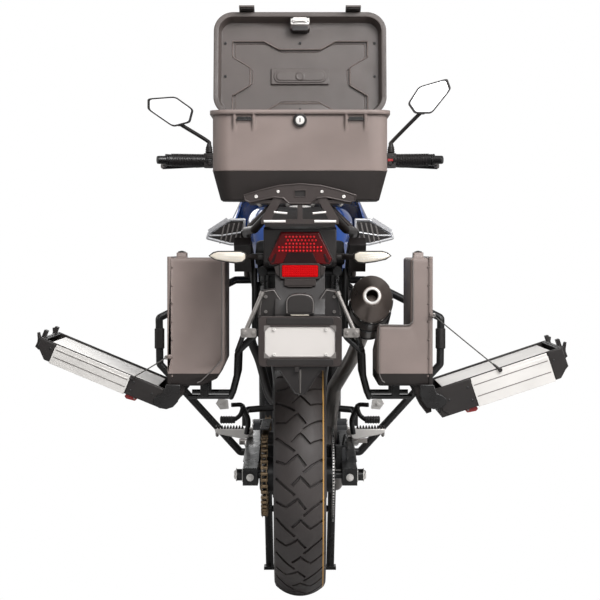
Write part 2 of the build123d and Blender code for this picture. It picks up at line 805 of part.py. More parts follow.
lean = radians(top_lid_lean)
top_hinge = Vector(0, case_front_y + rim_overhang - 1, case_rim + lid_gap)
top_lid_plane = Plane(top_hinge, x_dir=(-1, 0, 0), z_dir=(0, cos(lean), -sin(lean)))
top_lid_depth = case_depth + 2 * rim_overhang
lid_width = case_width + 2 * rim_overhang
relief_middle = 110.0
quarter = [(52, 70), (90, 91), (169, 91), (169, 50), (125, 23)]
relief_half = quarter + [(x, -y) for x, y in reversed(quarter)]
relief_outline = [(x, relief_middle + y) for x, y in relief_half]
relief_outline += [(-x, y) for x, y in reversed(relief_outline)]
with BuildPart() as top_lid:
    with BuildSketch(top_lid_plane):
        with Locations((0, top_lid_depth / 2)):
            RectangleRounded(lid_width, top_lid_depth, case_corner + rim_overhang)
    extrude(amount=top_lid_height, taper=12)
    with BuildSketch(top_lid_plane):
        with Locations((0, top_lid_depth / 2)):
            RectangleRounded(lid_width - 24, top_lid_depth - 24, case_corner - 5)
    extrude(amount=lid_well, taper=12, mode=Mode.SUBTRACT)
    floor_plane = top_lid_plane.offset(lid_well - panel_relief)
    with BuildSketch(floor_plane):
        with Locations((0, top_lid_depth / 2)):
            Rectangle(lid_width - 38, top_lid_depth - 38)
        Polygon(*relief_outline, align=None, mode=Mode.SUBTRACT)
        with Locations((0, relief_middle)):
            Rectangle(144, 41)
    extrude(amount=panel_relief + 1)
    with BuildSketch(top_lid_plane.offset(6)):
        with Locations((0, top_lid_depth - 27)):
            Rectangle(48, 30)
    extrude(amount=lid_well - 5)
    for side in (-1, 1):
        with BuildSketch(top_lid_plane.offset(-26)):
            with Locations((side * hook_x, top_lid_depth + 7)):
                Rectangle(hook_width - 4, 5)
        extrude(amount=52)
        with BuildSketch(top_lid_plane.offset(4)):
            with Locations((side * hook_x, top_lid_depth)):
                Rectangle(hook_width - 4, 12)
        extrude(amount=16)
finish(top_lid.part, "top_lid")

# ---------------------------------------------------------------- side cases
box_front_y = box_rear_y + box_length
notch_front_z = notch_rear_z - box_length * slope


def slanted(z_rear, z_front, bottom):
    """An outline in (y, z) under a line that falls towards the front."""
    return [(box_rear_y - 1, bottom), (box_front_y + 1, bottom), (box_front_y + 1, z_front),
            (box_rear_y - 1, z_rear)]


def case_edges(body):
    """The outside edges of a side case, apart from those of its mouth."""
    return [edge for edge in body.edges() if abs(edge.center().X) < box_mouth - 1]


def mouth_flange(side):
    """A shallow rim round the mouth of a side case."""
    block((side * (box_mouth - flange_depth), side * box_mouth), (box_rear_y - flange_proud, box_front_y + flange_proud),
          (box_bottom - flange_proud, box_top + flange_proud))


def case_fittings(side, lug_height, knuckle_z):
    """The hinge rail under a side case, the boss on its top and the lug for its stay cord."""
    block((side * (box_mouth - 9), side * box_mouth), (box_rear_y + 20, box_front_y - 20),
          (side_hinge_z - 5, box_bottom + 1))
    cross_plate(
        [(side * (box_mouth - 2), box_bottom + 1), (side * (box_mouth - 2), knuckle_z + 4),
         (side * (box_mouth - 14), knuckle_z), (side * (box_mouth - 40), box_bottom - 18),
         (side * (box_mouth - 44), box_bottom + 1)],
        box_front_y - 30,
        box_rear_y + 12,
    )
    side_plate(
        [(box_rear_y + 8, box_top - 1), (box_rear_y + 14, box_top + 13), (box_rear_y + 66, box_top + 13),
         (box_rear_y + 78, box_top - 1)],
        side * (box_mouth - 46),
        side * (box_mouth - 22),
    )
    lug_z = side_hinge_z + lug_height
    block((side * (box_mouth - 8), side * box_mouth), (box_rear_y - 12, box_rear_y + 1), (lug_z - 4, lug_z + 4))


with BuildPart() as pannier_left:
    cross_plate(
        [(-box_mouth, box_bottom), (-box_mouth, box_top), (-box_inner, box_top), (-box_inner, box_bottom + 56),
         (-box_inner - 18, box_bottom + 18), (-box_inner - 56, box_bottom)],
        box_front_y,
        box_rear_y,
    )
    fillet(case_edges(pannier_left.part), case_edge)
    mouth_flange(-1)
    cross_plate(
        [(-box_mouth - 1, box_bottom + box_wall), (-box_mouth - 1, box_top - box_wall),
         (-box_inner - box_wall, box_top - box_wall), (-box_inner - box_wall, box_bottom + 56),
         (-box_inner - 22, box_bottom + 22), (-box_inner - 56, box_bottom + box_wall)],
        box_front_y - box_wall,
        box_rear_y + box_wall,
        Mode.SUBTRACT,
    )
    case_fittings(-1, left_lug_height, 508)
finish(pannier_left.part, "pannier_left")

with BuildPart() as pannier_right:
    side_plate(slanted(notch_rear_z, notch_front_z, box_bottom), box_inner + 5, box_mouth)
    block((notch_x, box_mouth), (box_rear_y - 1, box_front_y + 1), (box_bottom, box_top))
    block((box_inner, box_mouth + 1), (box_rear_y, box_front_y), (box_bottom, box_top), Mode.INTERSECT)
    fillet(case_edges(pannier_right.part), case_edge)
    mouth_flange(1)
    w = box_wall
    side_plate(
        [(box_rear_y + w, box_bottom + w), (box_front_y - w, box_bottom + w), (box_front_y - w, notch_front_z - w),
         (box_rear_y + w, notch_rear_z - w)],
        box_inner + 5 + w,
        box_mouth + 2,
        Mode.SUBTRACT,
    )
    block((notch_x + w, box_mouth + 2), (box_rear_y + w, box_front_y - w), (box_bottom + 40, box_top - w),
          Mode.SUBTRACT)
    case_fittings(1, right_lug_height, 490)
finish(pannier_right.part, "pannier_right")

lid_rear_y = box_rear_y - side_lid_overlap
lid_front_y = box_front_y + side_lid_overlap
lid_mid_y = (lid_rear_y + lid_front_y) / 2
lid_span = lid_front_y - lid_rear_y


def side_lid_plane(side, rise):
    """A plane on the inner face of an open side lid: x outward, y along the machine, z up."""
    a = radians(rise)
    outward = Vector(side * cos(a), 0, sin(a))
    hinge = Vector(side * (box_mouth + lid_gap), lid_mid_y, side_hinge_z)
    normal = Vector(-side * sin(a), 0, cos(a))
    return Plane(hinge, x_dir=outward, z_dir=normal)


band_start = 94.0
band_end = 290.0
band_thickness = 2.5
band_edge = 11.0
tip_cut = 34.0


def lid_profile(plane, depth, inset, mode=Mode.ADD):
    """A side lid's block in side view: its depth cut away towards the tip, its ends leaning inward."""
    half = lid_span / 2 - inset
    with BuildSketch(Plane(plane.origin - plane.y_dir * half, x_dir=plane.x_dir, z_dir=-plane.y_dir)) as profile:
        Polygon((inset, 0), (side_lid_length - inset, 0), (side_lid_length - inset, -depth + inset + 22),
                (side_lid_length - tip_cut, inset - depth), (inset, inset - depth), align=None)
    extrude(profile.sketch, amount=-2 * half, mode=mode)


side_lids = (
    (-1, left_lid_rise, left_lid_depth, "left", 89.0, left_lug_height),
    (1, right_lid_rise, right_lid_depth, "right", 170.0, right_lug_height),
)
for side, rise, depth, name, pin_reach, _ in side_lids:
    plane = side_lid_plane(side, rise)
    with BuildPart() as side_lid:
        lid_profile(plane, depth, 0)
        lid_profile(plane, depth, 6, Mode.SUBTRACT)
        with BuildSketch(plane.offset(-3)):
            with Locations((pin_reach, -lid_span / 2 + 2.5), (pin_reach, lid_span / 2 - 2.5)):
                Rectangle(6, 11)
        extrude(amount=-6)
        with BuildSketch(plane.offset(16)):
            with Locations((side_lid_length + 1, -130), (side_lid_length + 1, 130)):
                Rectangle(9, 36)
        extrude(amount=-40)
    finish(side_lid.part, f"{name}_lid")
    inner = lid_span / 2 + seat_gap
    outer = inner + band_thickness
    band_floor = -depth - seat_gap
    with BuildPart() as side_lid_panel:
        with BuildSketch(Plane(plane.origin + plane.x_dir * band_start, x_dir=plane.y_dir, z_dir=plane.x_dir)):
            Polygon((-outer, -band_edge), (-inner, -band_edge), (-inner, band_floor), (inner, band_floor),
                    (inner, -band_edge), (outer, -band_edge), (outer, band_floor - band_thickness),
                    (-outer, band_floor - band_thickness), align=None)
        extrude(amount=band_end - band_start)
    finish(side_lid_panel.part, f"{name}_lid_panel")

for side, rise, depth, name, pin_reach, lug_height in side_lids:
    plane = side_lid_plane(side, rise)
    pin = plane.from_local_coords((pin_reach, 0, -6.0))
    with BuildPart() as stay_cord:
        rod((pin.X, cord_y, pin.Z), (side * (box_mouth + 1.5), cord_y, side_hinge_z + lug_height - 1), cord_diameter)
    finish(stay_cord.part, f"stay_cord_{name}")

plate_back = -1040.0 + seat_gap
with BuildPart() as pannier_rack:
    for side in (-1, 1):
        bent_tube(
            mirrored([(rack_post_x, -585, 806), (rack_post_x, -585, 676), (154, -585, 636), (156, -585, 580),
                      (170, -600, 526), (170, -880, 526), (156, -880, 580), (154, -880, 636),
                      (rack_post_x, -880, 676), (rack_post_x, -880, rail_z + 8)], side),
            pannier_tube,
            16,
        )
        block((side * 88, side * 142), (plate_back, plate_back + 10), (681, 699))
        rod((side * 134, plate_back + 6, 690), (side * 154, -880, 640), pannier_tube - 2)
        rod((side * 130, plate_back + 6, 694), (side * 88, -1024 - 5 - seat_gap, 790), pannier_tube - 4)
        for y in (-640, -850):
            rod((side * 170, y, 526), (side * 276, y, 526), pannier_tube - 2)
            block((side * 226, side * 246), (y - 10, y + 10), (528, box_bottom))
finish(pannier_rack.part, "pannier_rack")

# ---------------------------------------------------------------- stands
with BuildPart() as centre_stand:
    for side in (-1, 1):
        rod((side * (stand_half_width + 5), stand_pivot_y, stand_pivot_z), (side * stand_half_width, stand_foot_y, 8),
            stand_tube)
        block((side * (stand_half_width - 16), side * (stand_half_width + 16)),
              (stand_foot_y - 32, stand_foot_y + 32), (0, 8))
    shaft_half = stand_half_width + 12
    rod((-shaft_half, stand_pivot_y, stand_pivot_z), (shaft_half, stand_pivot_y, stand_pivot_z), stand_shaft)
    rod((-stand_half_width, stand_pivot_y + 12, 170), (stand_half_width, stand_pivot_y + 12, 170), 18)
finish(centre_stand.part, "centre_stand")

with BuildPart() as side_stand:
    rod(stand_pivot - side_axis * 12, stand_pivot + side_axis * 12, 30)
    rod((side_stand_x, side_stand_pivot_y, side_stand_pivot_z),
        (side_stand_x, side_stand_pivot_y - side_stand_length + 4, side_stand_pivot_z), 18)
    block((side_stand_x - 20, side_stand_x + 14),
          (side_stand_pivot_y - side_stand_length - 8, side_stand_pivot_y - side_stand_length + 12),
          (side_stand_pivot_z - 18, side_stand_pivot_z + 18))
finish(side_stand.part, "side_stand")

# ---------------------------------------------------------------- steering
with BuildPart() as fork:
    for side in (-1, 1):
        x = side * fork_half_width
        rod(along_steering(-30, x, fork_offset), along_steering(330, x, fork_offset), slider_diameter)
        rod(along_steering(300, x, fork_offset), along_steering(head_top + 40, x, fork_offset), stanchion_diameter)
    for height in (head_bottom - yoke_gap - yoke_thickness, head_top + yoke_gap):
        with BuildSketch(Plane(along_steering(height), x_dir=(1, 0, 0), z_dir=steer_up)):
            with BuildSketch(mode=Mode.PRIVATE) as yoke_outline:
                with Locations((-fork_half_width, fork_offset), (fork_half_width, fork_offset)):
                    Circle(stanchion_diameter / 2 + 8)
                with Locations((0, 0)):
                    Circle(34)
                make_hull()
            add(yoke_outline.sketch)
        extrude(amount=yoke_thickness)
    rod(along_steering(head_bottom - 10), along_steering(head_top + 10), stem_diameter)
    rod(front_axle - Vector(fork_half_width, 0, 0), front_axle + Vector(fork_half_width, 0, 0), axle_diameter)
finish(fork.part, "fork")

bar_bend = (250.0, 232.0)
bar_tip_y = 180.0
riser_foot = head_top + yoke_gap + yoke_thickness
clamp = along_steering(riser_foot + riser_height)


def on_bar(side, x):
    """A point on the straight outer run of the handlebar, at a distance x from the middle."""
    share = (x - bar_bend[0]) / (bar_half_width - bar_bend[0])
    return Vector(side * x, bar_bend[1] + (bar_tip_y - bar_bend[1]) * share, bar_height)


with BuildPart() as handlebar:
    bar_points = [
        on_bar(-1, bar_half_width),
        on_bar(-1, bar_bend[0]),
        (-120, clamp.Y, clamp.Z),
        (120, clamp.Y, clamp.Z),
        on_bar(1, bar_bend[0]),
        on_bar(1, bar_half_width),
    ]
    bent_tube(bar_points, bar_diameter, 40)
    for side in (-1, 1):
        rod(along_steering(riser_foot, side * 45), along_steering(riser_foot + riser_height + 12, side * 45), 30)
        rod(on_bar(side, 275), on_bar(side, 383), grip_diameter)
        rod(on_bar(side, 256), on_bar(side, 274), 46)
        rod((side * 262, 262, bar_height - 12), (side * 400, 226, bar_height - 20), 12)
        rod((side * 250, 232, bar_height), (side * 262, 262, bar_height - 12), 18)
finish(handlebar.part, "handlebar")

mirror_outlines = {
    "left": [(-441, 177), (-360, 183), (-307, 145), (-317, 107), (-367, 94), (-441, 145)],
    "right": [(343, 211), (426, 235), (437, 204), (381, 133), (331, 133), (311, 162)],
}
with BuildPart() as mirrors:
    for side, name in ((-1, "left"), (1, "right")):
        cross_plate([(x, bar_height + z) for x, z in mirror_outlines[name]], 196, 174)
        neck_x, neck_z = (350, 107) if side < 0 else (356, 141)
        foot = on_bar(side, 265) + Vector(0, 0, 23.4)
        bent_tube([foot, foot + Vector(0, 0, 22), (side * neck_x, 190, bar_height + neck_z)], 12, 9)
finish(mirrors.part, "mirrors")

with BuildPart() as front_mudguard:
    guard_radius = front_tyre_radius + 18
    back_edge = radians(62)
    with BuildSketch(Plane(front_axle, x_dir=(1, 0, 0), z_dir=(0, -cos(back_edge), -sin(back_edge)))):
        with Locations((0, guard_radius)):
            Rectangle(128, 4, align=(Align.CENTER, Align.MIN))
        with Locations((-64, guard_radius - 24), (64, guard_radius - 24)):
            Rectangle(4, 28, align=(Align.CENTER, Align.MIN))
    revolve(axis=Axis(front_axle, (1, 0, 0)), revolution_arc=-100)
    for side in (-1, 1):
        block((side * 64, side * (fork_half_width - slider_diameter / 2 - seat_gap)), (597, 617), (590, 612))
finish(front_mudguard.part, "front_mudguard")
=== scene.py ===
import json
import math
import bmesh
import bpy
from mathutils import Matrix, Vector


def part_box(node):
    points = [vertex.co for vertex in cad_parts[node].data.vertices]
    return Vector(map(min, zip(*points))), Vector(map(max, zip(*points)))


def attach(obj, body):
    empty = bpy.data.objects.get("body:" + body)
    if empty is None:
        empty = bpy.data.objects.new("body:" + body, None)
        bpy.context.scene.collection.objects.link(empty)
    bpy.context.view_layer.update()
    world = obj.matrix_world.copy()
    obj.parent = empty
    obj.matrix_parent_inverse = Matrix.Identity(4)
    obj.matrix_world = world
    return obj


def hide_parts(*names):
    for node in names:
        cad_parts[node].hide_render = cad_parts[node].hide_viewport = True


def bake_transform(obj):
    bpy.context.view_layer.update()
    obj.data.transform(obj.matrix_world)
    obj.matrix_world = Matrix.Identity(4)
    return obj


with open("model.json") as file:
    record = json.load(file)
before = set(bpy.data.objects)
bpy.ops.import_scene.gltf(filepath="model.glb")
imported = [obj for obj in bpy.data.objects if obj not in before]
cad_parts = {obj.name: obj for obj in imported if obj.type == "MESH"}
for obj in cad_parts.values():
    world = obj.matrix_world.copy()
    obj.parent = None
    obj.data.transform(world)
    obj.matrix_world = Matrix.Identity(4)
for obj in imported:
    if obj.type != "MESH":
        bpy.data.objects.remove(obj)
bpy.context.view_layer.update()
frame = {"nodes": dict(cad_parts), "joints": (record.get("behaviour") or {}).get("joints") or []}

# every finish of the machine: two tones in linear light, the range of its roughness, and the fineness and
# depth of its grain; where it has them, metal, coat, glow, a duller gloss and the radius of worn edges in mm
finishes = {
    "caseGrey": dict(colour=(0.205, 0.160, 0.145), shade=(0.165, 0.129, 0.116),
        rough=(0.42, 0.56), grain=900, bump=0.16, edge=9.0),
    "caseInside": dict(colour=(0.070, 0.055, 0.050), shade=(0.052, 0.041, 0.037),
        rough=(0.4, 0.58), grain=700, bump=0.2, edge=4.0),
    # near-black painted shade: laid on the feet of the cases and inside the tailpipe's bore
    "paintedShadeBlack": dict(colour=(0.016, 0.012, 0.011), shade=(0.010, 0.008, 0.007),
        rough=(0.5, 0.65), grain=900, bump=0.16, edge=5.0, dull=0.25),
    "blackPlastic": dict(colour=(0.015, 0.012, 0.011), shade=(0.009, 0.007, 0.007),
        rough=(0.36, 0.52), grain=1100, bump=0.14, edge=2.0, dull=0.35),
    "blackSteel": dict(colour=(0.010, 0.009, 0.009), shade=(0.006, 0.006, 0.006),
        rough=(0.22, 0.38), grain=500, bump=0.05, edge=1.5, dull=0.4),
    "wheelBlack": dict(colour=(0.016, 0.016, 0.017), shade=(0.010, 0.010, 0.011),
        rough=(0.3, 0.45), grain=600, bump=0.05),
    "engineGrey": dict(colour=(0.05, 0.05, 0.052), shade=(0.03, 0.03, 0.032),
        rough=(0.4, 0.6), grain=420, bump=0.12, metallic=0.5),
    "steelGrey": dict(colour=(0.30, 0.28, 0.265), shade=(0.22, 0.205, 0.195),
        rough=(0.3, 0.46), grain=260, bump=0.05, metallic=0.9),
    "brightAluminium": dict(colour=(0.70, 0.675, 0.65), shade=(0.60, 0.58, 0.555),
        rough=(0.3, 0.44), grain=300, bump=0.04, metallic=0.35),
    "rackGrey": dict(colour=(0.17, 0.155, 0.148), shade=(0.12, 0.11, 0.104),
        rough=(0.36, 0.5), grain=600, bump=0.08, metallic=0.4),
    "rackDark": dict(colour=(0.046, 0.036, 0.034), shade=(0.030, 0.024, 0.022),
        rough=(0.3, 0.45), grain=600, bump=0.08, metallic=0.5),
    "silencerSteel": dict(colour=(0.22, 0.185, 0.165), shade=(0.11, 0.09, 0.08),
        rough=(0.24, 0.38), grain=160, bump=0.05, metallic=0.75),
    "chainBronze": dict(colour=(0.30, 0.21, 0.12), shade=(0.15, 0.11, 0.07),
        rough=(0.3, 0.5), grain=300, bump=0.1, metallic=0.7),
    "bodyBlue": dict(colour=(0.008, 0.050, 0.235), shade=(0.006, 0.040, 0.19),
        rough=(0.12, 0.2), grain=40, bump=0.01, coat=0.7, edge=2.5),
    "ventSilver": dict(colour=(0.50, 0.50, 0.51), shade=(0.42, 0.42, 0.43),
        rough=(0.28, 0.4), grain=500, bump=0.04, metallic=0.5),
    "seatBlack": dict(colour=(0.018, 0.017, 0.017), shade=(0.011, 0.011, 0.011),
        rough=(0.5, 0.7), grain=380, bump=0.3),
    "tyreRubber": dict(colour=(0.036, 0.029, 0.027), shade=(0.024, 0.019, 0.018),
        rough=(0.5, 0.7), grain=240, bump=0.22, edge=1.2),
    "redLens": dict(colour=(0.10, 0.0015, 0.0025), shade=(0.06, 0.001, 0.0015),
        rough=(0.15, 0.25), grain=60, bump=0.01, dull=0.3),
    "tailShade": dict(colour=(0.014, 0.0008, 0.001), shade=(0.008, 0.0005, 0.0006),
        rough=(0.3, 0.4), grain=60, bump=0.0, dull=0.2),
    "clearLens": dict(colour=(0.58, 0.53, 0.45), shade=(0.48, 0.43, 0.36),
        rough=(0.08, 0.16), grain=60, bump=0.01, coat=0.5),
    "clearScreen": dict(colour=(0.30, 0.33, 0.35), shade=(0.25, 0.28, 0.30),
        rough=(0.05, 0.1), grain=30, bump=0.0, coat=0.5),
    "plateWhite": dict(colour=(0.53, 0.50, 0.478), shade=(0.49, 0.462, 0.442),
        rough=(0.35, 0.5), grain=200, bump=0.02),
    "cordGrey": dict(colour=(0.06, 0.055, 0.05), shade=(0.035, 0.033, 0.03),
        rough=(0.5, 0.7), grain=1500, bump=0.3),
    "latchRed": dict(colour=(0.30, 0.012, 0.014), shade=(0.20, 0.008, 0.009),
        rough=(0.3, 0.45), grain=500, bump=0.06),
    # the reflector's own red, with a faint glow that is painted reflection
    "reflectRedPaintedGlow": dict(colour=(0.46, 0.002, 0.004), shade=(0.40, 0.002, 0.003),
        rough=(0.4, 0.5), grain=60, bump=0.0, glow=0.05, dull=0.05),
    "lampDot": dict(colour=(0.62, 0.006, 0.010), shade=(0.5, 0.005, 0.008),
        rough=(0.2, 0.3), grain=60, bump=0.0, glow=0.18, dull=0.3),
    "goldStripe": dict(colour=(0.42, 0.23, 0.06), shade=(0.32, 0.17, 0.04),
        rough=(0.45, 0.6), grain=300, bump=0.05),
    # mirror glass painted near white and made to glow: a painted reflection of the pale room
    "mirrorPaintedReflection": dict(colour=(0.9, 0.9, 0.91), shade=(0.86, 0.86, 0.87),
        rough=(0.04, 0.08), grain=20, bump=0.0, metallic=0.6, glow=0.5),
}


def addNode(nodes, kind, values):
    node = nodes.new(kind)
    for name, value in values.items():
        node.inputs[name].default_value = value
    return node


def makeFinish(name, look):
    mat = bpy.data.materials.new(name)
    mat.use_nodes = True
    nodes = mat.node_tree.nodes
    links = mat.node_tree.links
    shader = nodes["Principled BSDF"]
    coord = nodes.new("ShaderNodeTexCoord")

    # soft drift between two tones
    drift = addNode(nodes, "ShaderNodeTexNoise", {"Scale": 6.0, "Detail": 5.0})
    links.new(coord.outputs["Object"], drift.inputs["Vector"])
    tone = nodes.new("ShaderNodeValToRGB")
    dark, pale = tone.color_ramp.elements
    dark.position = 0.32
    pale.position = 0.68
    dark.color = (*look["shade"], 1)
    pale.color = (*look["colour"], 1)
    links.new(drift.outputs["Fac"], tone.inputs["Fac"])
    links.new(tone.outputs["Color"], shader.inputs["Base Color"])

    # handling marks in the gloss
    rub = addNode(nodes, "ShaderNodeTexNoise", {"Scale": 22.0, "Detail": 8.0, "Roughness": 0.65})
    links.new(coord.outputs["Object"], rub.inputs["Vector"])
    least, most = look["rough"]
    spread = {"From Min": 0.3, "From Max": 0.7, "To Min": least, "To Max": most}
    gloss = addNode(nodes, "ShaderNodeMapRange", spread)
    links.new(rub.outputs["Fac"], gloss.inputs["Value"])
    links.new(gloss.outputs["Result"], shader.inputs["Roughness"])

    # fine grain of the surface itself
    if look["bump"] > 0:
        grain = addNode(nodes, "ShaderNodeTexNoise", {"Scale": look["grain"], "Detail": 3.0})
        links.new(coord.outputs["Object"], grain.inputs["Vector"])
        bump = addNode(nodes, "ShaderNodeBump", {"Strength": look["bump"], "Distance": 0.0006})
        links.new(grain.outputs["Fac"], bump.inputs["Height"])
        links.new(bump.outputs["Normal"], shader.inputs["Normal"])
        if "edge" in look:  # light catches a rounded edge of this radius
            edge = addNode(nodes, "ShaderNodeBevel", {"Radius": look["edge"] * 0.001})
            edge.samples = 6
            links.new(edge.outputs["Normal"], bump.inputs["Normal"])
    shader.inputs["Metallic"].default_value = look.get("metallic", 0.0)
    shader.inputs["Coat Weight"].default_value = look.get("coat", 0.0)
    shader.inputs["Coat Roughness"].default_value = 0.08
    shader.inputs["Specular IOR Level"].default_value = look.get("dull", 0.5)
    # glow: on the lamp dots the lamp's own light; on the reflector and the mirror glass it is painted
    # reflection
    if "glow" in look:
        shader.inputs["Emission Color"].default_value = (*look["colour"], 1)
        shader.inputs["Emission Strength"].default_value = look["glow"]
    return mat


paint = {name: makeFinish(name, look) for name, look in finishes.items()}

# the solids that take each finish
finishedSolids = {
    "blackSteel": ("main_frame", "swingarm", "radiator", "crash_bars", "pannier_rack", "centre_stand",
                   "side_stand", "fork", "handlebar"),
    "chainBronze": ("drive_chain",),
    "engineGrey": ("engine",),
    "steelGrey": ("exhaust_pipe",),
    "silencerSteel": ("silencer",),
    "bodyBlue": ("fuel_tank", "side_panels", "front_fairing"),
    "seatBlack": ("seat",),
    "clearLens": ("headlamps", "rear_indicators"),
    "clearScreen": ("windscreen",),
    "ventSilver": ("side_vents",),
    "blackPlastic": ("instrument_panel", "tail_housing", "rear_mudguard", "left_lid", "right_lid", "mirrors",
                     "front_mudguard"),
    "brightAluminium": ("foot_pegs", "left_lid_panel", "right_lid_panel"),
    "redLens": ("tail_light",),
    "reflectRedPaintedGlow": ("reflector",),
    "plateWhite": ("number_plate",),
    "rackDark": ("luggage_rack",),
    "caseGrey": ("top_case", "pannier_left", "pannier_right"),
    "caseInside": ("top_lid",),
    "cordGrey": ("stay_cord_left", "stay_cord_right"),
    "tyreRubber": ("front_tyre", "rear_tyre"),
    "wheelBlack": ("front_wheel", "rear_wheel"),
}
for finish, names in finishedSolids.items():
    for name in names:
        solid = frame["nodes"][name]
        solid.data.materials.clear()
        solid.data.materials.append(paint[finish])
print("finishes set on", sum(len(names) for names in finishedSolids.values()), "solids")


unit = 0.001  # every size below is in millimetres
up = Vector((0, 0, 1))
rearward = (0, -1, 0)
leftRight = (-1, 1)
bothSides = ((-1, "left"), (1, "right"))
joints = {joint["name"]: joint for joint in frame["joints"]}
# how an outline (u, v) lies at w along an axis
lying = {"x": lambda u, v, w: (w, u, v), "y": lambda u, v, w: (u, w, v), "z": lambda u, v, w: (u, v, w)}


def corner(node, x, y, z):
    # a point of a solid's box in millimetres, each share from 0 at the low side to 1 at the high side
    low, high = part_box(node)
    return tuple((a + (b - a) * t) / unit for a, b, t in zip(low, high, (x, y, z)))


def addFaces(bm, points, faces):
    verts = [bm.verts.new(Vector(p) * unit) for p in points]
    for face in faces:
        bm.faces.new([verts[i] for i in face])
    return verts


def addBlock(bm, low, high):
    (a, b, c), (d, e, f) = low, high
    points = [(a, b, c), (d, b, c), (d, e, c), (a, e, c), (a, b, f), (d, b, f), (d, e, f), (a, e, f)]
    faces = [(0, 3, 2, 1), (4, 5, 6, 7), (0, 1, 5, 4), (1, 2, 6, 5), (2, 3, 7, 6), (3, 0, 4, 7)]
    return addFaces(bm, points, faces)


def addSkin(bm, rings, capped=True):
    # closed skin through rings that all have the same number of points
    count = len(rings[0])
    points = [p for ring in rings for p in ring]
    faces = []
    for r in range(len(rings) - 1):
        for i in range(count):
            j = (i + 1) % count
            faces.append((r * count + i, r * count + j, (r + 1) * count + j, (r + 1) * count + i))
    if capped:
        faces.append(tuple(reversed(range(count))))
        faces.append(tuple(range(len(points) - count, len(points))))
    return addFaces(bm, points, faces)


def addPlate(bm, outline, axis, start, end):
    # an outline in the two other axes, taken from start to end along axis
    return addSkin(bm, [[lying[axis](u, v, w) for u, v in outline] for w in (start, end)])


def ringAt(centre, direction, radius, sides, flat=1.0, turn=0.0):
    # points of a circle, or of an oval where flat is under 1, square to direction
    direction = Vector(direction).normalized()
    across = direction.cross(up) if abs(direction.z) < 0.95 else direction.cross(Vector((1, 0, 0)))
    across.normalize()
    over = across.cross(direction)
    ring = []
    for i in range(sides):
        a = 2 * math.pi * i / sides + turn
        ring.append(Vector(centre) + across * math.cos(a) * radius + over * math.sin(a) * radius * flat)
    return ring


def addRod(bm, start, end, radius, sides=20, tip=None, flat=1.0, turn=0.0):
    way = Vector(end) - Vector(start)
    tip = radius if tip is None else tip
    ends = ((start, radius), (end, tip))
    return addSkin(bm, [ringAt(place, way, r, sides, flat, turn) for place, r in ends])


def addTurned(bm, centre, direction, profile, sides=32):
    # a turned piece: profile is a list of (distance along, radius)
    way = Vector(direction).normalized()
    return addSkin(bm, [ringAt(Vector(centre) + way * d, way, max(r, 0.05), sides) for d, r in profile])


def smoothPath(points, steps=6):
    # a soft line through a few points
    pts = [Vector(p) for p in points]
    pts = [2 * pts[0] - pts[1]] + pts + [2 * pts[-1] - pts[-2]]
    path = []
    for i in range(1, len(pts) - 2):
        for s in range(steps):
            t = s / steps
            a, b, c, d = pts[i - 1:i + 3]
            path.append(0.5 * (2 * b + (c - a) * t + (2 * a - 5 * b + 4 * c - d) * t ** 2
                               + (3 * b - a - 3 * c + d) * t ** 3))
    return path + [pts[-2]]


def addTube(bm, points, radius, sides=14, steps=6):
    path = smoothPath(points, steps) if steps > 1 else [Vector(p) for p in points]
    way = (path[1] - path[0]).normalized()
    across = way.orthogonal().normalized()
    rings = []
    for i, p in enumerate(path):
        ahead = path[min(i + 1, len(path) - 1)] - path[max(i - 1, 0)]
        ahead.normalize()
        across = (across - ahead * across.dot(ahead)).normalized()
        over = ahead.cross(across)
        r = radius[min(i * len(radius) // len(path), len(radius) - 1)] if isinstance(radius, list) else radius
        rings.append([p + (across * math.cos(a) + over * math.sin(a)) * r
                      for a in (2 * math.pi * k / sides for k in range(sides))])
    return addSkin(bm, rings)


def roundedOutline(width, height, radius, centre=(0, 0), steps=5):
    points = []
    for sx, sz, first in ((1, 1, 0), (-1, 1, 90), (-1, -1, 180), (1, -1, 270)):
        for k in range(steps + 1):
            a = math.radians(first + 90 * k / steps)
            points.append((centre[0] + sx * (width / 2 - radius) + radius * math.cos(a),
                           centre[1] + sz * (height / 2 - radius) + radius * math.sin(a)))
    return points


def addHoop(bm, rings):
    # closed hoop: the skin through rings runs back into the first of them
    addSkin(bm, rings + [rings[0]], False)
    bmesh.ops.remove_doubles(bm, verts=bm.verts, dist=0.00001)


def addFlatHoop(bm, outer, inner, at, start, end):
    # hoop between two outlines that lie as at says, from start to end
    edges = ((outer, start), (outer, end), (inner, end), (inner, start))
    addHoop(bm, [[at(u, v, w) for u, v in ring] for ring, w in edges])


def aroundAxle(axle, x, radius, angle):
    return Vector((x, axle.y + radius * math.sin(angle), axle.z + radius * math.cos(angle)))


def addAroundAxle(bm, axle, section, steps):
    # closed hoop about an axle, its section given as (x, radius)
    addHoop(bm, [[aroundAxle(axle, x, r, 2 * math.pi * k / steps) for x, r in section] for k in range(steps)])


def addBolt(bm, centre, direction, radius, height=0.7):
    # a hexagon head on its washer
    way = Vector(direction).normalized()
    centre = Vector(centre)
    washer = radius * 1.35
    addTurned(bm, centre, way, [(0, washer), (radius * 0.18, washer), (radius * 0.2, radius * 1.2)], 20)
    addRod(bm, centre + way * radius * 0.15, centre + way * radius * height, radius, 6)
    cap = [(0, radius * 0.82), (radius * 0.16, radius * 0.7)]
    addTurned(bm, centre + way * radius * height * 0.9, way, cap, 16)


def addSocketScrew(bm, centre, direction, radius):
    way = Vector(direction).normalized()
    addTurned(bm, centre, way, [(0, radius), (radius * 0.7, radius), (radius * 0.9, radius * 0.85),
                                (radius * 0.9, radius * 0.5), (radius * 0.4, radius * 0.45)], 16)


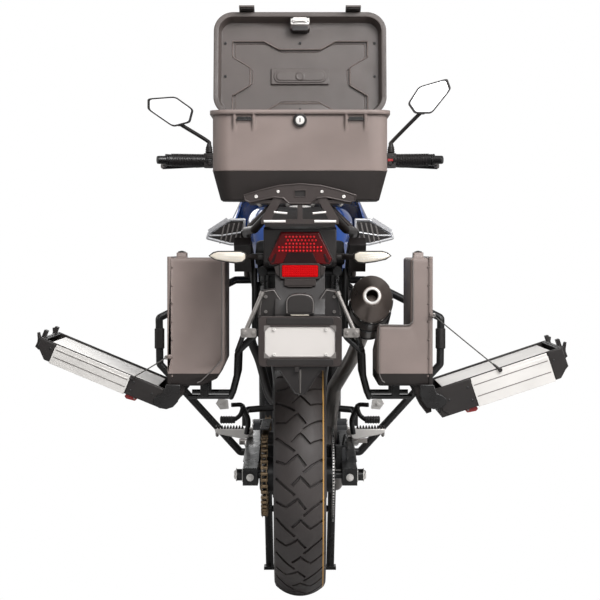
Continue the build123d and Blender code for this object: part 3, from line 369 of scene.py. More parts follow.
def addBead(bm, points, radius, closed=False, sides=8):
    # a thin bead along straight runs
    run = [Vector(p) for p in points]
    if closed:
        run.append(run[0])
    for a, b in zip(run, run[1:]):
        addRod(bm, a, b, radius, sides)
        knee = Matrix.Translation(b * unit)
        bmesh.ops.create_icosphere(bm, subdivisions=1, radius=radius * unit, matrix=knee)


def mirrorX(bm):
    # the same shape again on the other side of the machine
    found = bmesh.ops.duplicate(bm, geom=bm.verts[:] + bm.edges[:] + bm.faces[:])["geom"]
    verts = [g for g in found if isinstance(g, bmesh.types.BMVert)]
    bmesh.ops.scale(bm, vec=(-1, 1, 1), verts=verts)


def placed(bm, name, body, finish, bevel=0.0, levels=2, soft=35, replaces=()):
    # closes off a shape: outward faces, finish, soft edges, and the body that it moves with
    bmesh.ops.recalc_face_normals(bm, faces=bm.faces)
    mesh = bpy.data.meshes.new(name)
    bm.to_mesh(mesh)
    bm.free()
    return placedMesh(mesh, name, body, finish, bevel, levels, soft, replaces)


def placedMesh(mesh, name, body, finish, bevel=0.0, levels=2, soft=35, replaces=()):
    piece = newObject(name, mesh)
    mesh.materials.clear()
    mesh.materials.append(paint[finish])
    for face in mesh.polygons:
        face.use_smooth = True
    mesh.set_sharp_from_angle(angle=math.radians(soft))
    if bevel:
        edge = piece.modifiers.new("edges", "BEVEL")
        edge.width = bevel * unit
        edge.segments = levels
        edge.limit_method = "ANGLE"
        edge.angle_limit = math.radians(soft)
        edge.harden_normals = False
    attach(piece, body)
    if replaces:
        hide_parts(*replaces)
    return piece


def newShape():
    return bmesh.new()


def newObject(name, data):
    made = bpy.data.objects.new(name, data)
    bpy.context.collection.objects.link(made)
    return made


def addLine(name, places, kind="POLY"):
    # a curve through places, for a piece to follow
    curve = bpy.data.curves.new(name, "CURVE")
    curve.dimensions = "3D"
    run = curve.splines.new(kind)
    run.points.add(len(places) - 1)
    for point, place in zip(run.points, places):
        point.co = (*(Vector(place) * unit), 1)
    return newObject(name, curve)


def finishedMesh(piece):
    # the piece's mesh as its modifiers leave it
    bpy.context.view_layer.update()
    return bpy.data.meshes.new_from_object(piece.evaluated_get(bpy.context.evaluated_depsgraph_get()))


# three ways of repeating one form: in a grid, around an axle, and along a line
def startTree(name, sockets):
    tree = bpy.data.node_groups.new(name, "GeometryNodeTree")
    face = tree.interface
    face.new_socket("Geometry", in_out="INPUT", socket_type="NodeSocketGeometry")
    for label, kind in sockets:
        face.new_socket(label, in_out="INPUT", socket_type="NodeSocket" + kind)
    face.new_socket("Finish", in_out="INPUT", socket_type="NodeSocketMaterial")
    face.new_socket("Geometry", in_out="OUTPUT", socket_type="NodeSocketGeometry")
    entry = tree.nodes.new("NodeGroupInput")
    return tree, entry


def endTree(tree, entry, points, form, turn=None):
    # a copy of form at every point, then all of them as one plain mesh in its finish
    copies = tree.nodes.new("GeometryNodeInstanceOnPoints")
    real = tree.nodes.new("GeometryNodeRealizeInstances")
    coat = tree.nodes.new("GeometryNodeSetMaterial")
    leave = tree.nodes.new("NodeGroupOutput")
    link = tree.links.new
    link(points, copies.inputs["Points"])
    link(form, copies.inputs["Instance"])
    if turn:
        link(turn, copies.inputs["Rotation"])
    link(copies.outputs["Instances"], real.inputs["Geometry"])
    link(real.outputs["Geometry"], coat.inputs["Geometry"])
    link(entry.outputs["Finish"], coat.inputs["Material"])
    link(coat.outputs["Geometry"], leave.inputs["Geometry"])
    return tree


def mathNode(tree, operation, a, b):
    node = tree.nodes.new("ShaderNodeMath")
    node.operation = operation
    for socket, value in zip(node.inputs, (a, b)):
        if isinstance(value, (int, float)):
            socket.default_value = value
        else:
            tree.links.new(value, socket)
    return node.outputs[0]


def makeGridTree():
    # copies in columns and rows; every second row moves sideways by Stagger columns
    tree, entry = startTree("copiesInAGrid", [("Columns", "Int"), ("Rows", "Int"), ("Column Step", "Vector"),
                                              ("Row Step", "Vector"), ("Stagger", "Float")])
    total = mathNode(tree, "MULTIPLY", entry.outputs["Columns"], entry.outputs["Rows"])
    line = tree.nodes.new("GeometryNodeMeshLine")
    tree.links.new(total, line.inputs["Count"])
    line.inputs["Offset"].default_value = (0, 0, 0)
    index = tree.nodes.new("GeometryNodeInputIndex")
    column = mathNode(tree, "MODULO", index.outputs[0], entry.outputs["Columns"])
    row = mathNode(tree, "FLOOR", mathNode(tree, "DIVIDE", index.outputs[0], entry.outputs["Columns"]), 0)
    odd = mathNode(tree, "MODULO", row, 2)
    column = mathNode(tree, "ADD", column, mathNode(tree, "MULTIPLY", odd, entry.outputs["Stagger"]))
    places = []
    for step, share in (("Column Step", column), ("Row Step", row)):
        scale = tree.nodes.new("ShaderNodeVectorMath")
        scale.operation = "SCALE"
        tree.links.new(entry.outputs[step], scale.inputs[0])
        tree.links.new(share, scale.inputs["Scale"])
        places.append(scale.outputs[0])
    both = tree.nodes.new("ShaderNodeVectorMath")
    for place, socket in zip(places, both.inputs):
        tree.links.new(place, socket)
    move = tree.nodes.new("GeometryNodeSetPosition")
    tree.links.new(line.outputs["Mesh"], move.inputs["Geometry"])
    tree.links.new(both.outputs[0], move.inputs["Offset"])
    return endTree(tree, entry, move.outputs["Geometry"], entry.outputs["Geometry"])


def makeRingTree():
    # copies turned about an axle through Centre, which lies along X
    tree, entry = startTree("copiesAroundAnAxle",
                            [("Count", "Int"), ("Centre", "Vector"), ("Start Angle", "Float")])
    back = tree.nodes.new("ShaderNodeVectorMath")
    back.operation = "SCALE"
    back.inputs["Scale"].default_value = -1.0
    tree.links.new(entry.outputs["Centre"], back.inputs[0])
    shift = tree.nodes.new("GeometryNodeTransform")
    tree.links.new(entry.outputs["Geometry"], shift.inputs["Geometry"])
    tree.links.new(back.outputs[0], shift.inputs["Translation"])
    line = tree.nodes.new("GeometryNodeMeshLine")
    tree.links.new(entry.outputs["Count"], line.inputs["Count"])
    tree.links.new(entry.outputs["Centre"], line.inputs["Start Location"])
    line.inputs["Offset"].default_value = (0, 0, 0)
    index = tree.nodes.new("GeometryNodeInputIndex")
    part = mathNode(tree, "DIVIDE", index.outputs[0], entry.outputs["Count"])
    angle = mathNode(tree, "ADD", mathNode(tree, "MULTIPLY", part, 2 * math.pi), entry.outputs["Start Angle"])
    turn = tree.nodes.new("ShaderNodeCombineXYZ")
    tree.links.new(angle, turn.inputs["X"])
    return endTree(tree, entry, line.outputs["Mesh"], shift.outputs["Geometry"], turn.outputs[0])


def makeTrackTree():
    # copies along the line in Track, each one facing along it
    tree, entry = startTree("copiesAlongALine", [("Track", "Object"), ("Count", "Int")])
    source = tree.nodes.new("GeometryNodeObjectInfo")
    tree.links.new(entry.outputs["Track"], source.inputs["Object"])
    line = tree.nodes.new("GeometryNodeCurveToPoints")
    tree.links.new(source.outputs["Geometry"], line.inputs["Curve"])
    tree.links.new(entry.outputs["Count"], line.inputs["Count"])
    return endTree(tree, entry, line.outputs["Points"], entry.outputs["Geometry"], line.outputs["Rotation"])


trees = dict(grid=makeGridTree(), ring=makeRingTree(), track=makeTrackTree())


def repeated(bm, name, body, finish, way, settings, soft=35, bevel=0.0):
    # the form in bm, repeated by one of the trees, as one plain mesh
    bmesh.ops.recalc_face_normals(bm, faces=bm.faces)
    mesh = bpy.data.meshes.new(name + "Form")
    bm.to_mesh(mesh)
    bm.free()
    form = newObject(name + "Form", mesh)
    repeat = form.modifiers.new("repeat", "NODES")
    repeat.node_group = trees[way]
    values = dict(settings, Finish=paint[finish])
    for item in trees[way].interface.items_tree:
        if item.in_out == "INPUT" and item.name in values:
            value = values[item.name]
            if item.socket_type == "NodeSocketVector":
                value = [v * unit for v in value]
            repeat[item.identifier] = value
    plain = finishedMesh(form)
    bpy.data.objects.remove(form)
    return placedMesh(plain, name, body, finish, bevel, 2, soft)


def gridOf(columns, step, rows=1, rowStep=(0, 0, 0), stagger=0.0):
    return {"Columns": columns, "Rows": rows, "Column Step": step, "Row Step": rowStep, "Stagger": stagger}


def ringOf(count, axle):
    return {"Count": count, "Centre": tuple(axle)}


def cutBy(piece, cutter):
    # takes the cutter's shape out of the piece for good
    cut = piece.modifiers.new("cut", "BOOLEAN")
    cut.object = cutter
    cut.operation = "DIFFERENCE"
    cut.solver = "EXACT"
    mesh = finishedMesh(piece)
    piece.modifiers.remove(cut)
    piece.data = mesh
    bpy.data.objects.remove(cutter)
    mesh.set_sharp_from_angle(angle=math.radians(35))
    return piece


def softened(node, body, finish, width, slot=None, soft=28):
    # a solid shown again with rounded edges, in the solid's own place
    bm = newShape()
    bm.from_mesh(frame["nodes"][node].data)
    bmesh.ops.remove_doubles(bm, verts=bm.verts, dist=0.00002)
    bmesh.ops.dissolve_limit(bm, angle_limit=math.radians(0.6), verts=bm.verts, edges=bm.edges)
    piece = placed(bm, node + "_shell", body, finish, width, 2, soft, (node,))
    piece.modifiers["edges"].use_clamp_overlap = True
    return piece


def withSecondFinish(piece, finish, chosen, level=None):
    # a second finish on the faces that chosen(middle, facing) picks; faces are first parted at a level. On
    # the cases the second finish is painted shade, on the blue solids it is their black paint
    if level is not None:
        bm = newShape()
        bm.from_mesh(piece.data)
        bmesh.ops.bisect_plane(bm, geom=bm.verts[:] + bm.edges[:] + bm.faces[:], dist=0.00001,
                               plane_co=up * level * unit, plane_no=up)
        bm.to_mesh(piece.data)
        bm.free()
    piece.data.materials.append(paint[finish])
    for face in piece.data.polygons:
        if chosen(face.center, face.normal):
            face.material_index = 1
    return piece


print("tools ready")

# the stay cords, from the lug on the case to the pin on the open lid
# each one's lug and pin as (x, z), and how far its sleeve reaches up from the pin
stays = dict(
    thickness=3.0, sleeveRadius=3.4, pinRadius=5.2, sag=1.2, cordY=-958.0,
    left=((-323.7, 627.6), (-406.6, 577.9), 4.0),
    right=((323.7, 729.7), (485.4, 597.4), 24.0),
)


def makeStay(side):
    (startX, startZ), (endX, endZ), sleeveLength = stays[side]
    start = Vector((startX, stays["cordY"], startZ))
    end = Vector((endX, stays["cordY"], endZ))
    middle = (start + end) / 2 - up * stays["sag"]
    route = addLine("stayRoute", (start, middle, end), "NURBS")
    route.data.resolution_u = 24
    route.data.splines[0].order_u = 3
    route.data.splines[0].use_endpoint_u = True
    bpy.context.view_layer.update()
    path = [v.co.copy() for v in bpy.data.meshes.new_from_object(route).vertices]
    bpy.data.objects.remove(route)
    bm = newShape()
    addTube(bm, [p / unit for p in path], stays["thickness"] / 2, 12, 1)
    body = side + "_side_lid"
    rope = placed(bm, "stay_" + side, "frame", "cordGrey")
    rope.parent = None  # it hangs between two bodies
    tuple(path[0])
    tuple(path[-1])
    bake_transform(rope)
    length = sum((b - a).length for a, b in zip(path, path[1:]))
    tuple(path[0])
    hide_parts("stay_cord_" + side)

    # sleeve over the knot at the lid, and the eyelet at the case
    bm = newShape()
    way = (start - end).normalized()
    sleeve = [(-4, 1.7), (-3, 3.0), (0, stays["sleeveRadius"]), (sleeveLength * 0.7, 3.1),
              (sleeveLength, 1.9)]
    addTurned(bm, end, way, sleeve, 16)
    pin = [(-3, stays["pinRadius"]), (7, stays["pinRadius"]), (8, 4.4), (8, 2.2), (6.4, 2.0)]
    addTurned(bm, end + Vector((0, 4.5, 0)), rearward, pin, 20)
    placed(bm, "stay_sleeve_" + side, body, "blackPlastic", 0.3)
    bm = newShape()
    eyelet = [(0, 5.5), (3, 5.5), (4, 4.6), (4, 2.0), (2.6, 1.9)]
    addTurned(bm, start + Vector((0, 2, 0)), rearward, eyelet, 20)
    placed(bm, "stay_eyelet_" + side, "frame", "steelGrey", 0.3)


for _, label in bothSides:
    makeStay(label)
print("stay cords in place")


# the top case: shell with painted shade on its foot, beads, gasket, lock, ribs and hinges
topCase = dict(edge=2.2, footZ=1078.0, middleY=-937.0, catchX=133.0, pinZ=1197.0, lockZ=1196.0, lockY=-1068.0,
               lockRing=16.4, lockCore=10.4, ribCount=9, hingeX=(-140, 0, 140))
# faces below the foot line take a near-black finish: painted shade
withSecondFinish(softened("top_case", "frame", "caseGrey", topCase["edge"], slot="case_grey"), "paintedShadeBlack",
        lambda middle, facing: middle.z < topCase["footZ"] * unit)


def caseOutline(width, depth, radius, steps=10):
    return roundedOutline(width, depth, radius, (0, topCase["middleY"]), steps)


def makeTopCaseTrim():
    rear = corner("top_case", 0, 0, 0)[1]
    bm = newShape()
    # moulded bead under the rim and a skirt line above the tapered foot
    for z, grow, thick in ((1207.5, 1.4, 2.2), (1077.5, 0.9, 2.0)):
        outer = caseOutline(417 + 2 * grow, 254 + 2 * grow, 42)
        addFlatHoop(bm, outer, caseOutline(412, 249, 40), lying["z"], z - thick / 2, z + thick / 2)
    placed(bm, "case_beads", "frame", "caseGrey", 0.5)

    # gasket round the mouth
    bm = newShape()
    addFlatHoop(bm, caseOutline(423, 260, 45), caseOutline(415, 252, 41), lying["z"], 1220.2, 1221.2)
    placed(bm, "case_gasket", "frame", "blackPlastic")

    # pockets between each pair of fins, with the pin that the lid's hook grips
    bm = newShape()
    pinY, pinZ = rear + 2.6, topCase["pinZ"]
    for x in (-topCase["catchX"], topCase["catchX"]):
        addPlate(bm, roundedOutline(34, 9, 3, (x, pinZ + 3)), "y", rear + 6.5, rear + 5.2)
        addRod(bm, (x - 21, pinY, pinZ), (x + 21, pinY, pinZ), 1.7, 14)
    placed(bm, "catch_pins", "frame", "blackSteel", 0.3)

    # lock: black ring, bright key core and slot
    lockY, lockZ, lip, core = (topCase[key] for key in ("lockY", "lockZ", "lockRing", "lockCore"))
    centre = (0, lockY, lockZ)
    bm = newShape()
    ring = [(-1, 15.0), (0.6, lip), (2.4, lip), (3.6, 15.2), (3.8, 11.4), (2.2, 10.9)]
    addTurned(bm, centre, rearward, ring, 48)
    placed(bm, "lock_ring", "frame", "blackPlastic")
    bm = newShape()
    keyhole = [(0.5, 9.0), (3.4, core), (4.1, 9.9), (4.3, 8.0), (3.7, 7.4), (3.7, 3.0)]
    addTurned(bm, centre, rearward, keyhole, 40)
    placed(bm, "lock_core", "frame", "brightAluminium")
    bm = newShape()
    addPlate(bm, roundedOutline(2.4, 9.6, 0.8, (0, lockZ)), "y", lockY - 3.9, lockY - 4.5)
    placed(bm, "lock_slot", "frame", "blackSteel")

    # ribs inside the case, along the front wall, and the carpet mat on its floor
    bm = newShape()
    addBlock(bm, (-150, -817.5, 1090), (-146, -813.8, 1205))
    grid = gridOf(topCase["ribCount"], (37, 0, 0))
    repeated(bm, "case_ribs", "frame", "caseInside", "grid", grid, bevel=0.6)
    bm = newShape()
    addPlate(bm, caseOutline(360, 212, 26, 8), "z", 1011.3, 1015)
    placed(bm, "case_mat", "frame", "seatBlack", 1.0)

    # hinge barrels along the front rim
    bm = newShape()
    barrel = [(0, 4.2), (0.6, 5.0), (47.4, 5.0), (48, 4.2)]
    for x in topCase["hingeX"]:
        addTurned(bm, (x - 24, -797.5, 1215), (1, 0, 0), barrel, 20)
        addBlock(bm, (x - 20, -803.6, 1196), (x + 20, -799.2, 1214))
    placed(bm, "case_hinges", "frame", "blackSteel", 0.5)


makeTopCaseTrim()


# the open lid of the top case, seen from its inside
lidTop = dict(depth=268.0, edge=2.0, lean=math.radians(12), bossV=110.0, strikerV=247.0, tone="caseInside")
lidHinge = Vector(joints["top_case_lid"]["pos_m"]) / unit
lidAlong = Vector((0, math.sin(lidTop["lean"]), math.cos(lidTop["lean"])))
lidInto = Vector((0, math.cos(lidTop["lean"]), -math.sin(lidTop["lean"])))
softened("top_lid", "top_case_lid", lidTop["tone"], lidTop["edge"], slot="case_grey")


def onLid(x, v, d):
    # x across the lid, v along it from the hinge, d into its shell from the rim
    return Vector((x, 0, 0)) + Vector((0, lidHinge.y, lidHinge.z)) + lidAlong * v + lidInto * d


def addOnLid(bm, outline, low, high):
    return addSkin(bm, [[onLid(x, v, d) for x, v in outline] for d in (low, high)])


def makeLidTrim():
    body = "top_case_lid"
    middle = lidTop["depth"] / 2

    def addLidHoop(bm, width, depth, radius, wide, high):
        outer = roundedOutline(width, depth, radius, (0, middle), 10)
        inner = roundedOutline(width - 2 * wide, depth - 2 * wide, radius - wide, (0, middle), 10)
        addFlatHoop(bm, outer, inner, onLid, high, 1.0)

    # double rim: an outer lip and a thin inner one, with a dark seal between them
    bm = newShape()
    addLidHoop(bm, 431, 268, 49, 3.0, 2.6)
    addLidHoop(bm, 416, 253, 43, 1.6, 3.4)
    placed(bm, "lid_rim", body, "caseGrey", 0.4)
    bm = newShape()
    addLidHoop(bm, 424, 261, 46, 2.5, 2.4)
    placed(bm, "lid_seal", body, "blackPlastic", 0.4)

    # lines pressed along the raised surround, as thin beads
    bm = newShape()
    boss = lidTop["bossV"]
    quarter = [(52, 70), (90, 91), (169, 91), (169, 50), (125, 23)]
    half = quarter + [(x, -v) for x, v in reversed(quarter)]
    outline = half + [(-x, v) for x, v in reversed(half)]
    inner = [(x - math.copysign(7, x), v - math.copysign(6, v)) for x, v in outline]
    for line, depth, radius in ((outline, 30.6, 1.5), (inner, 35.8, 0.9)):
        loop = [onLid(x, boss + v, depth) for x, v in line]
        for a, b in zip(loop, loop[1:] + loop[:1]):
            addRod(bm, a, b, radius, 8)
    placed(bm, "lid_beads", body, "caseGrey")

    # centre boss: an oval dish with a plain round pad
    bm = newShape()
    for width, height, low, high in ((132, 33, 31.4, 29.4), (118, 22, 29.8, 28.6)):
        addOnLid(bm, roundedOutline(width, height, height / 2 - 1, (0, boss), 8), low, high)
    addTurned(bm, onLid(0, boss, 28.8), -lidInto, [(0, 11), (1.2, 11), (2.0, 10), (2.0, 7.5), (1.2, 7.0)], 40)
    placed(bm, "lid_boss", body, "caseInside", 0.7)

    # screws that hold the lid's frame
    bm = newShape()
    screw = [(0, 3.6), (1.0, 3.6), (1.8, 2.9), (1.8, 1.5), (0.8, 1.3)]
    addTurned(bm, onLid(-187, 24, 30.6), -lidInto, screw, 12)
    grid = gridOf(3, (187, 0, 0), 3, tuple(lidAlong * 86))
    repeated(bm, "lid_screws", body, "blackSteel", "grid", grid)

    # striker: bright plate with a hooked keeper, between two dark cheeks
    bm = newShape()
    striker = lidTop["strikerV"]
    for width, height, radius, x, low, high in ((46, 20, 3, 0, 5.6, 2.8), (30, 7, 2, 0, 3.0, -6.0),
                                                (9, 12, 2, -14, 3.0, -2.0), (9, 12, 2, 14, 3.0, -2.0)):
        addOnLid(bm, roundedOutline(width, height, radius, (x, striker)), low, high)
    placed(bm, "striker_plate", body, "brightAluminium", 0.5)
    bm = newShape()
    for x in (-19, 19):
        addOnLid(bm, roundedOutline(7, 16, 2, (x, striker + 13)), 12, 1.0)
        addTurned(bm, onLid(x, striker - 2, 3), -lidInto, [(0, 2.8), (1.0, 2.8), (1.7, 2.0), (1.0, 1.0)], 12)
    addOnLid(bm, roundedOutline(40, 12, 3, (0, striker - 20)), 30.5, 4)
    placed(bm, "striker_cheeks", body, "blackPlastic", 0.6)

    # catches: a folded hook plate on each side
    bm = newShape()
    for x in (-topCase["catchX"], topCase["catchX"]):
        addOnLid(bm, roundedOutline(40, 14, 3, (x, 262)), 4, 1)
        addOnLid(bm, roundedOutline(36, 4, 1.5, (x, 271)), 8, -22)
    placed(bm, "lid_catches", body, "blackPlastic", 0.8)

    # stiffening ribs on the outer skin of the lid
    bm = newShape()
    addOnLid(bm, roundedOutline(6, 178, 2.9, (-120, 134), 4), 55.6, 57.4)
    grid = gridOf(6, (48, 0, 0))
    repeated(bm, "lid_outer_ribs", body, "caseGrey", "grid", grid, bevel=0.6)


makeLidTrim()
print("top case dressed")


# side cases: shells with painted shade below the foot line, strips round the mouth, rivets, hinges and mats
sideCase = dict(edge=1.6, footZ=588.0, mouthX=321.5, rearY=-949.6, rivets=7, knuckles=7)
for _, label in bothSides:
    shell = softened("pannier_" + label, "frame", "caseGrey", sideCase["edge"], slot="case_grey")
    # faces below the foot line take painted shade, a near-black finish
    withSecondFinish(shell, "paintedShadeBlack", lambda middle, facing: middle.z < sideCase["footZ"] * unit, sideCase["footZ"])


def makeSideCaseTrim():
    bm = newShape()
    # frame strip round the mouth, a slim step outside the body
    for side in leftRight:
        low, high = side * (sideCase["mouthX"] - 8.5), side * sideCase["mouthX"]
        for z in (868.6, 555.4):
            addBlock(bm, (low, -946, z), (high, -552, z + 3))
        for start, end in ((-951.4, -948.6), (-549.2, -546.6)):
            addBlock(bm, (low, start, 566), (high, end, 862))
    placed(bm, "mouth_strips", "frame", "rackGrey", 0.8)

    # pale pressed line down the inner edge of each rear face; on the left case the bead stands where the edge
    # catches light, so there it is a painted highlight
    bm = newShape()
    face = sideCase["rearY"]
    raised = face - 0.2
    addTube(bm, [(-196, face, 862), (-190, raised, 850), (-190, raised, 640), (-194, face, 618),
                 (-236, face, 574), (-250, face, 566)], 1.5, 10)
    addTube(bm, [(274.5, raised, 862), (274, raised, 850), (274, raised, 726), (270, raised, 712),
                 (258, raised, 706), (200, raised, 706), (193, raised, 699), (192, raised, 600),
                 (198, face, 574), (206, face, 566)], 1.5, 10)
    placed(bm, "case_lines", "frame", "rackGrey")

    # caps on the top bosses, and a row of rivets beside each mouth
    bm = newShape()
    for side in leftRight:
        addPlate(bm, [(side * 276, 869.4), (side * 299, 869.4), (side * 297, 884.5), (side * 288, 886.5),
                      (side * 280, 884)], "y", -934, -878)
    placed(bm, "case_bosses", "frame", "blackPlastic", 2.0)
    for side, label in bothSides:
        bm = newShape()
        addTurned(bm, (side * 311, -948.8, 582), rearward, [(0, 3.0), (1.2, 2.8), (1.9, 1.6)], 12)
        repeated(bm, "rivets_" + label, "frame", "caseGrey", "grid", gridOf(sideCase["rivets"], (0, 0, 44)))

    # long hinge barrel at the foot of each mouth, in separate knuckles
    knuckle = [(0, 2.4), (0.6, 3.2), (25.4, 3.2), (26, 2.4)]
    for side, label in bothSides:
        bm = newShape()
        addTurned(bm, (side * 322.4, -940, 545.2), (0, 1, 0), knuckle, 16)
        grid = gridOf(sideCase["knuckles"], (0, 58, 0))
        repeated(bm, "hinge_knuckles_" + label, "frame", "steelGrey", "grid", grid)

    # curved covers behind the ends of both hinges
    bm = newShape()
    elbow = [(290, 562), (290, 538), (296, 520), (308, 507), (324, 502), (342, 505), (354, 515), (356, 526),
             (346, 536), (332, 541), (324, 562)]
    addPlate(bm, elbow, "y", -957.6, -963)
    addPlate(bm, elbow, "y", -534, -539.4)
    mirrorX(bm)
    placed(bm, "hinge_covers", "frame", "blackSteel", 2.0)

    # floor mats inside
    bm = newShape()
    addPlate(bm, roundedOutline(66, 372, 6, (-284, -749), 3), "z", 562.4, 565.2)
    addPlate(bm, roundedOutline(96, 372, 6, (268, -749), 3), "z", 562.4, 565.2)
    placed(bm, "side_case_mats", "frame", "seatBlack", 0.6)


makeSideCaseTrim()


# the open side lids: black end caps, grooved channel, hooks and red latches
# each side's sign, the lid's rise in degrees and its depth
sideLids = dict(left=(-1, 22.7, 48.0), right=(1, 18.5, 72.0), skinTop=2.5, sealDrop=3.2, capEdge=1.4,
                panelEdge=0.5)
for _, label in bothSides:
    softened(label + "_lid", label + "_side_lid", "blackPlastic", sideLids["capEdge"], slot="black_plastic")
for _, label in bothSides:
    softened(label + "_lid_panel", label + "_side_lid", "brightAluminium", sideLids["panelEdge"],
             slot="bright_aluminium")


def makeSideLid(label):
    side, rise, depth = sideLids[label]
    rise = math.radians(rise)
    body = label + "_side_lid"
    along = Vector((side * math.cos(rise), 0, math.sin(rise)))
    down = Vector((side * math.sin(rise), 0, -math.cos(rise)))
    hinge = Vector((side * 322.5, 0, 549))

    def at(reach, y, drop):
        # reach out from the hinge, drop below the rim of the open lid
        return hinge + along * reach + down * drop + Vector((0, y, 0))

    def addEnd(bm, outline, start, end):
        return addSkin(bm, [[at(r, y, d) for r, d in outline] for y in (start, end)])

    # aluminium end plates over the channel, with two rolled grooves along them
    bm = newShape()
    top, foot = sideLids["skinTop"], depth - 2
    for start, end in ((-955.4, -952.8), (-542.6, -545.2)):
        addEnd(bm, [(95, top), (289, top), (289, foot), (95, foot)], start, end)
    placed(bm, "channel_ends_" + label, body, "brightAluminium", 0.8)
    # the grooves are darker strips laid on the plates: painted shade of the grooves
    bm = newShape()
    for start, end in ((-956.4, -955.2), (-541.6, -542.8)):
        for share in (0.28, 0.7):
            drop = top + (foot - top) * share
            addEnd(bm, [(98, drop - 1.1), (286, drop - 1.1), (286, drop + 1.1), (98, drop + 1.1)], start, end)
    placed(bm, "channel_lines_" + label, body, "rackGrey", 0.4)

    # liner that closes the tray under its rim
    bm = newShape()
    addEnd(bm, [(26, 5), (306, 5), (306, 8), (26, 8)], -946, -552)
    placed(bm, "lid_liner_" + label, body, "brightAluminium", 0.8)

    # end caps: a stepped block at the hinge and one at the tip
    bm = newShape()
    for start, end in ((-955.8, -952.6), (-542.2, -545.4)):
        addEnd(bm, [(6, 2), (93, 2), (93, depth), (20, depth), (6, depth - 16)], start, end)
        addEnd(bm, [(291, 2), (329, 2), (329, depth - 24), (304, depth), (291, depth)], start, end)
    placed(bm, "lid_caps_" + label, body, "blackPlastic", 1.6)
    bm = newShape()
    for start, end in ((-956.9, -955.6), (-541.1, -542.4)):
        for r, d in ((30, depth * 0.5), (82, depth * 0.3), (82, depth * 0.75), (300, depth * 0.35)):
            inward = Vector((0, 1 if start < -700 else -1, 0))
            addTurned(bm, at(r, start, d), inward, [(0, 2.2), (0.5, 3.0), (1.6, 3.4)], 12)
    placed(bm, "cap_rivets_" + label, body, "blackSteel")

    # outer skin of the lid: ribs across its far face
    bm = newShape()
    low, high = depth + 2.6, depth + 4.4
    addEnd(bm, [(98, low), (286, low), (286, high), (98, high)], -880, -868)
    repeated(bm, "channel_ribs_" + label, body, "brightAluminium", "grid", gridOf(9, (0, 32, 0)), bevel=0.6)

    # seal round the lid's edge
    bm = newShape()
    drop = sideLids["sealDrop"]
    for r0, y0, r1, y1 in ((8, -949, 322, -949), (8, -549, 322, -549), (322, -949, 322, -549)):
        addRod(bm, at(r0, y0, drop), at(r1, y1, drop), 1.8, 10)
    placed(bm, "lid_seals_" + label, body, "blackSteel")

    # two latches on the tip, a cranked arm with a hook each
    bm = newShape()
    for y in (-930, -570):
        y0, y1 = y - 15, y + 15
        addEnd(bm, [(326, 4), (334, 2), (341, -8), (345, -6), (338, 8), (334, 22), (326, 24)], y0, y1)
        addEnd(bm, [(329, 10), (336, 9), (337, 28), (326, 32)], y0 + 5, y1 - 5)
    placed(bm, "tip_latches_" + label, body, "blackPlastic", 1.0)

    # red lever under the hinge cap
    bm = newShape()
    for y in (-936, -566):
        addEnd(bm, [(58, depth - 1), (88, depth - 1), (90, depth + 7), (84, depth + 11), (62, depth + 8)],
               y - 10, y + 10)
    placed(bm, "red_levers_" + label, body, "latchRed", 1.4)
    bm = newShape()
    for y in (-936, -566):
        addRod(bm, at(66, y - 12, depth + 3), at(66, y + 12, depth + 3), 2.4, 14)
    placed(bm, "lever_pins_" + label, body, "steelGrey", 0.3)


for _, label in bothSides:
    makeSideLid(label)
print("side cases and lids dressed")

# the luggage rack under the case: lip bead, slot, bolts, stays and clamps
rack = dict(topZ=1006.7, lipY=-1074.0, railX=137.0)


def makeRackTrim():
    bm = newShape()
    y, z = rack["lipY"], rack["topZ"]
    lip = [(0, 38), (48, 34), (91, 24), (133, 11), (130, -1), (119, -5), (62, 7), (40, 5), (26, -8)]
    outline = lip + [(-x, v) for x, v in reversed(lip[1:])]
    slot = [(-13, z + 7), (13, z + 7), (13, z + 23), (-13, z + 23)]
    addBead(bm, [(x, y - 0.2, z + v) for x, v in outline], 2.0, True)
    addBead(bm, [(x, y - 0.2, v) for x, v in slot], 1.2, True)
    placed(bm, "rack_lip_bead", "frame", "rackDark")
    bm = newShape()
    addPlate(bm, slot, "y", y + 7.6, y + 3)
    placed(bm, "rack_slot", "frame", "blackPlastic", 0.4)
    bm = newShape()
    for side in leftRight:
        for x, boltY in ((30, -1040), (98, -1030), (98, -850), (30, -850)):
            addBolt(bm, (side * x, boltY, z - 8.2), (0, 0, -1), 5.0)
        addSocketScrew(bm, (side * 104, y, z + 8), rearward, 4.2)
        addSocketScrew(bm, (side * 52, y, z + 20), rearward, 3.6)
        # bright stays across the slanted struts
        addRod(bm, (side * 34, -1073.4, 956), (side * 86, -1073.4, 956), 3.2, 14)
        addRod(bm, (side * 30, -1073, 975), (side * 62, -1073, 978), 2.6, 14)
    placed(bm, "rack_bolts", "frame", "brightAluminium", 0.3)
    # clamps that hold the rails
    bm = newShape()
    clamp = [(-11, 12.2), (-10, 13.6), (10, 13.6), (11, 12.2)]
    for x in (-rack["railX"], rack["railX"]):
        for y, z in ((-700, 928), (-520, 902)):
            addTurned(bm, (x, y, z), (0, 1, 0.12), clamp, 24)
            addSocketScrew(bm, (x, y, z + 13), up, 4.0)
    placed(bm, "rack_clamps", "frame", "blackSteel", 0.5)


makeRackTrim()


# the tail: lamp with its rows of dots, reflector, bracket, plate lamp
tail = dict(lensY=-1000.0, lensZ=893.0, dotRadius=2.7, dotStep=8.4, prismStep=5.2, reflectorZ=837.3,
            guardY=-1024.0)


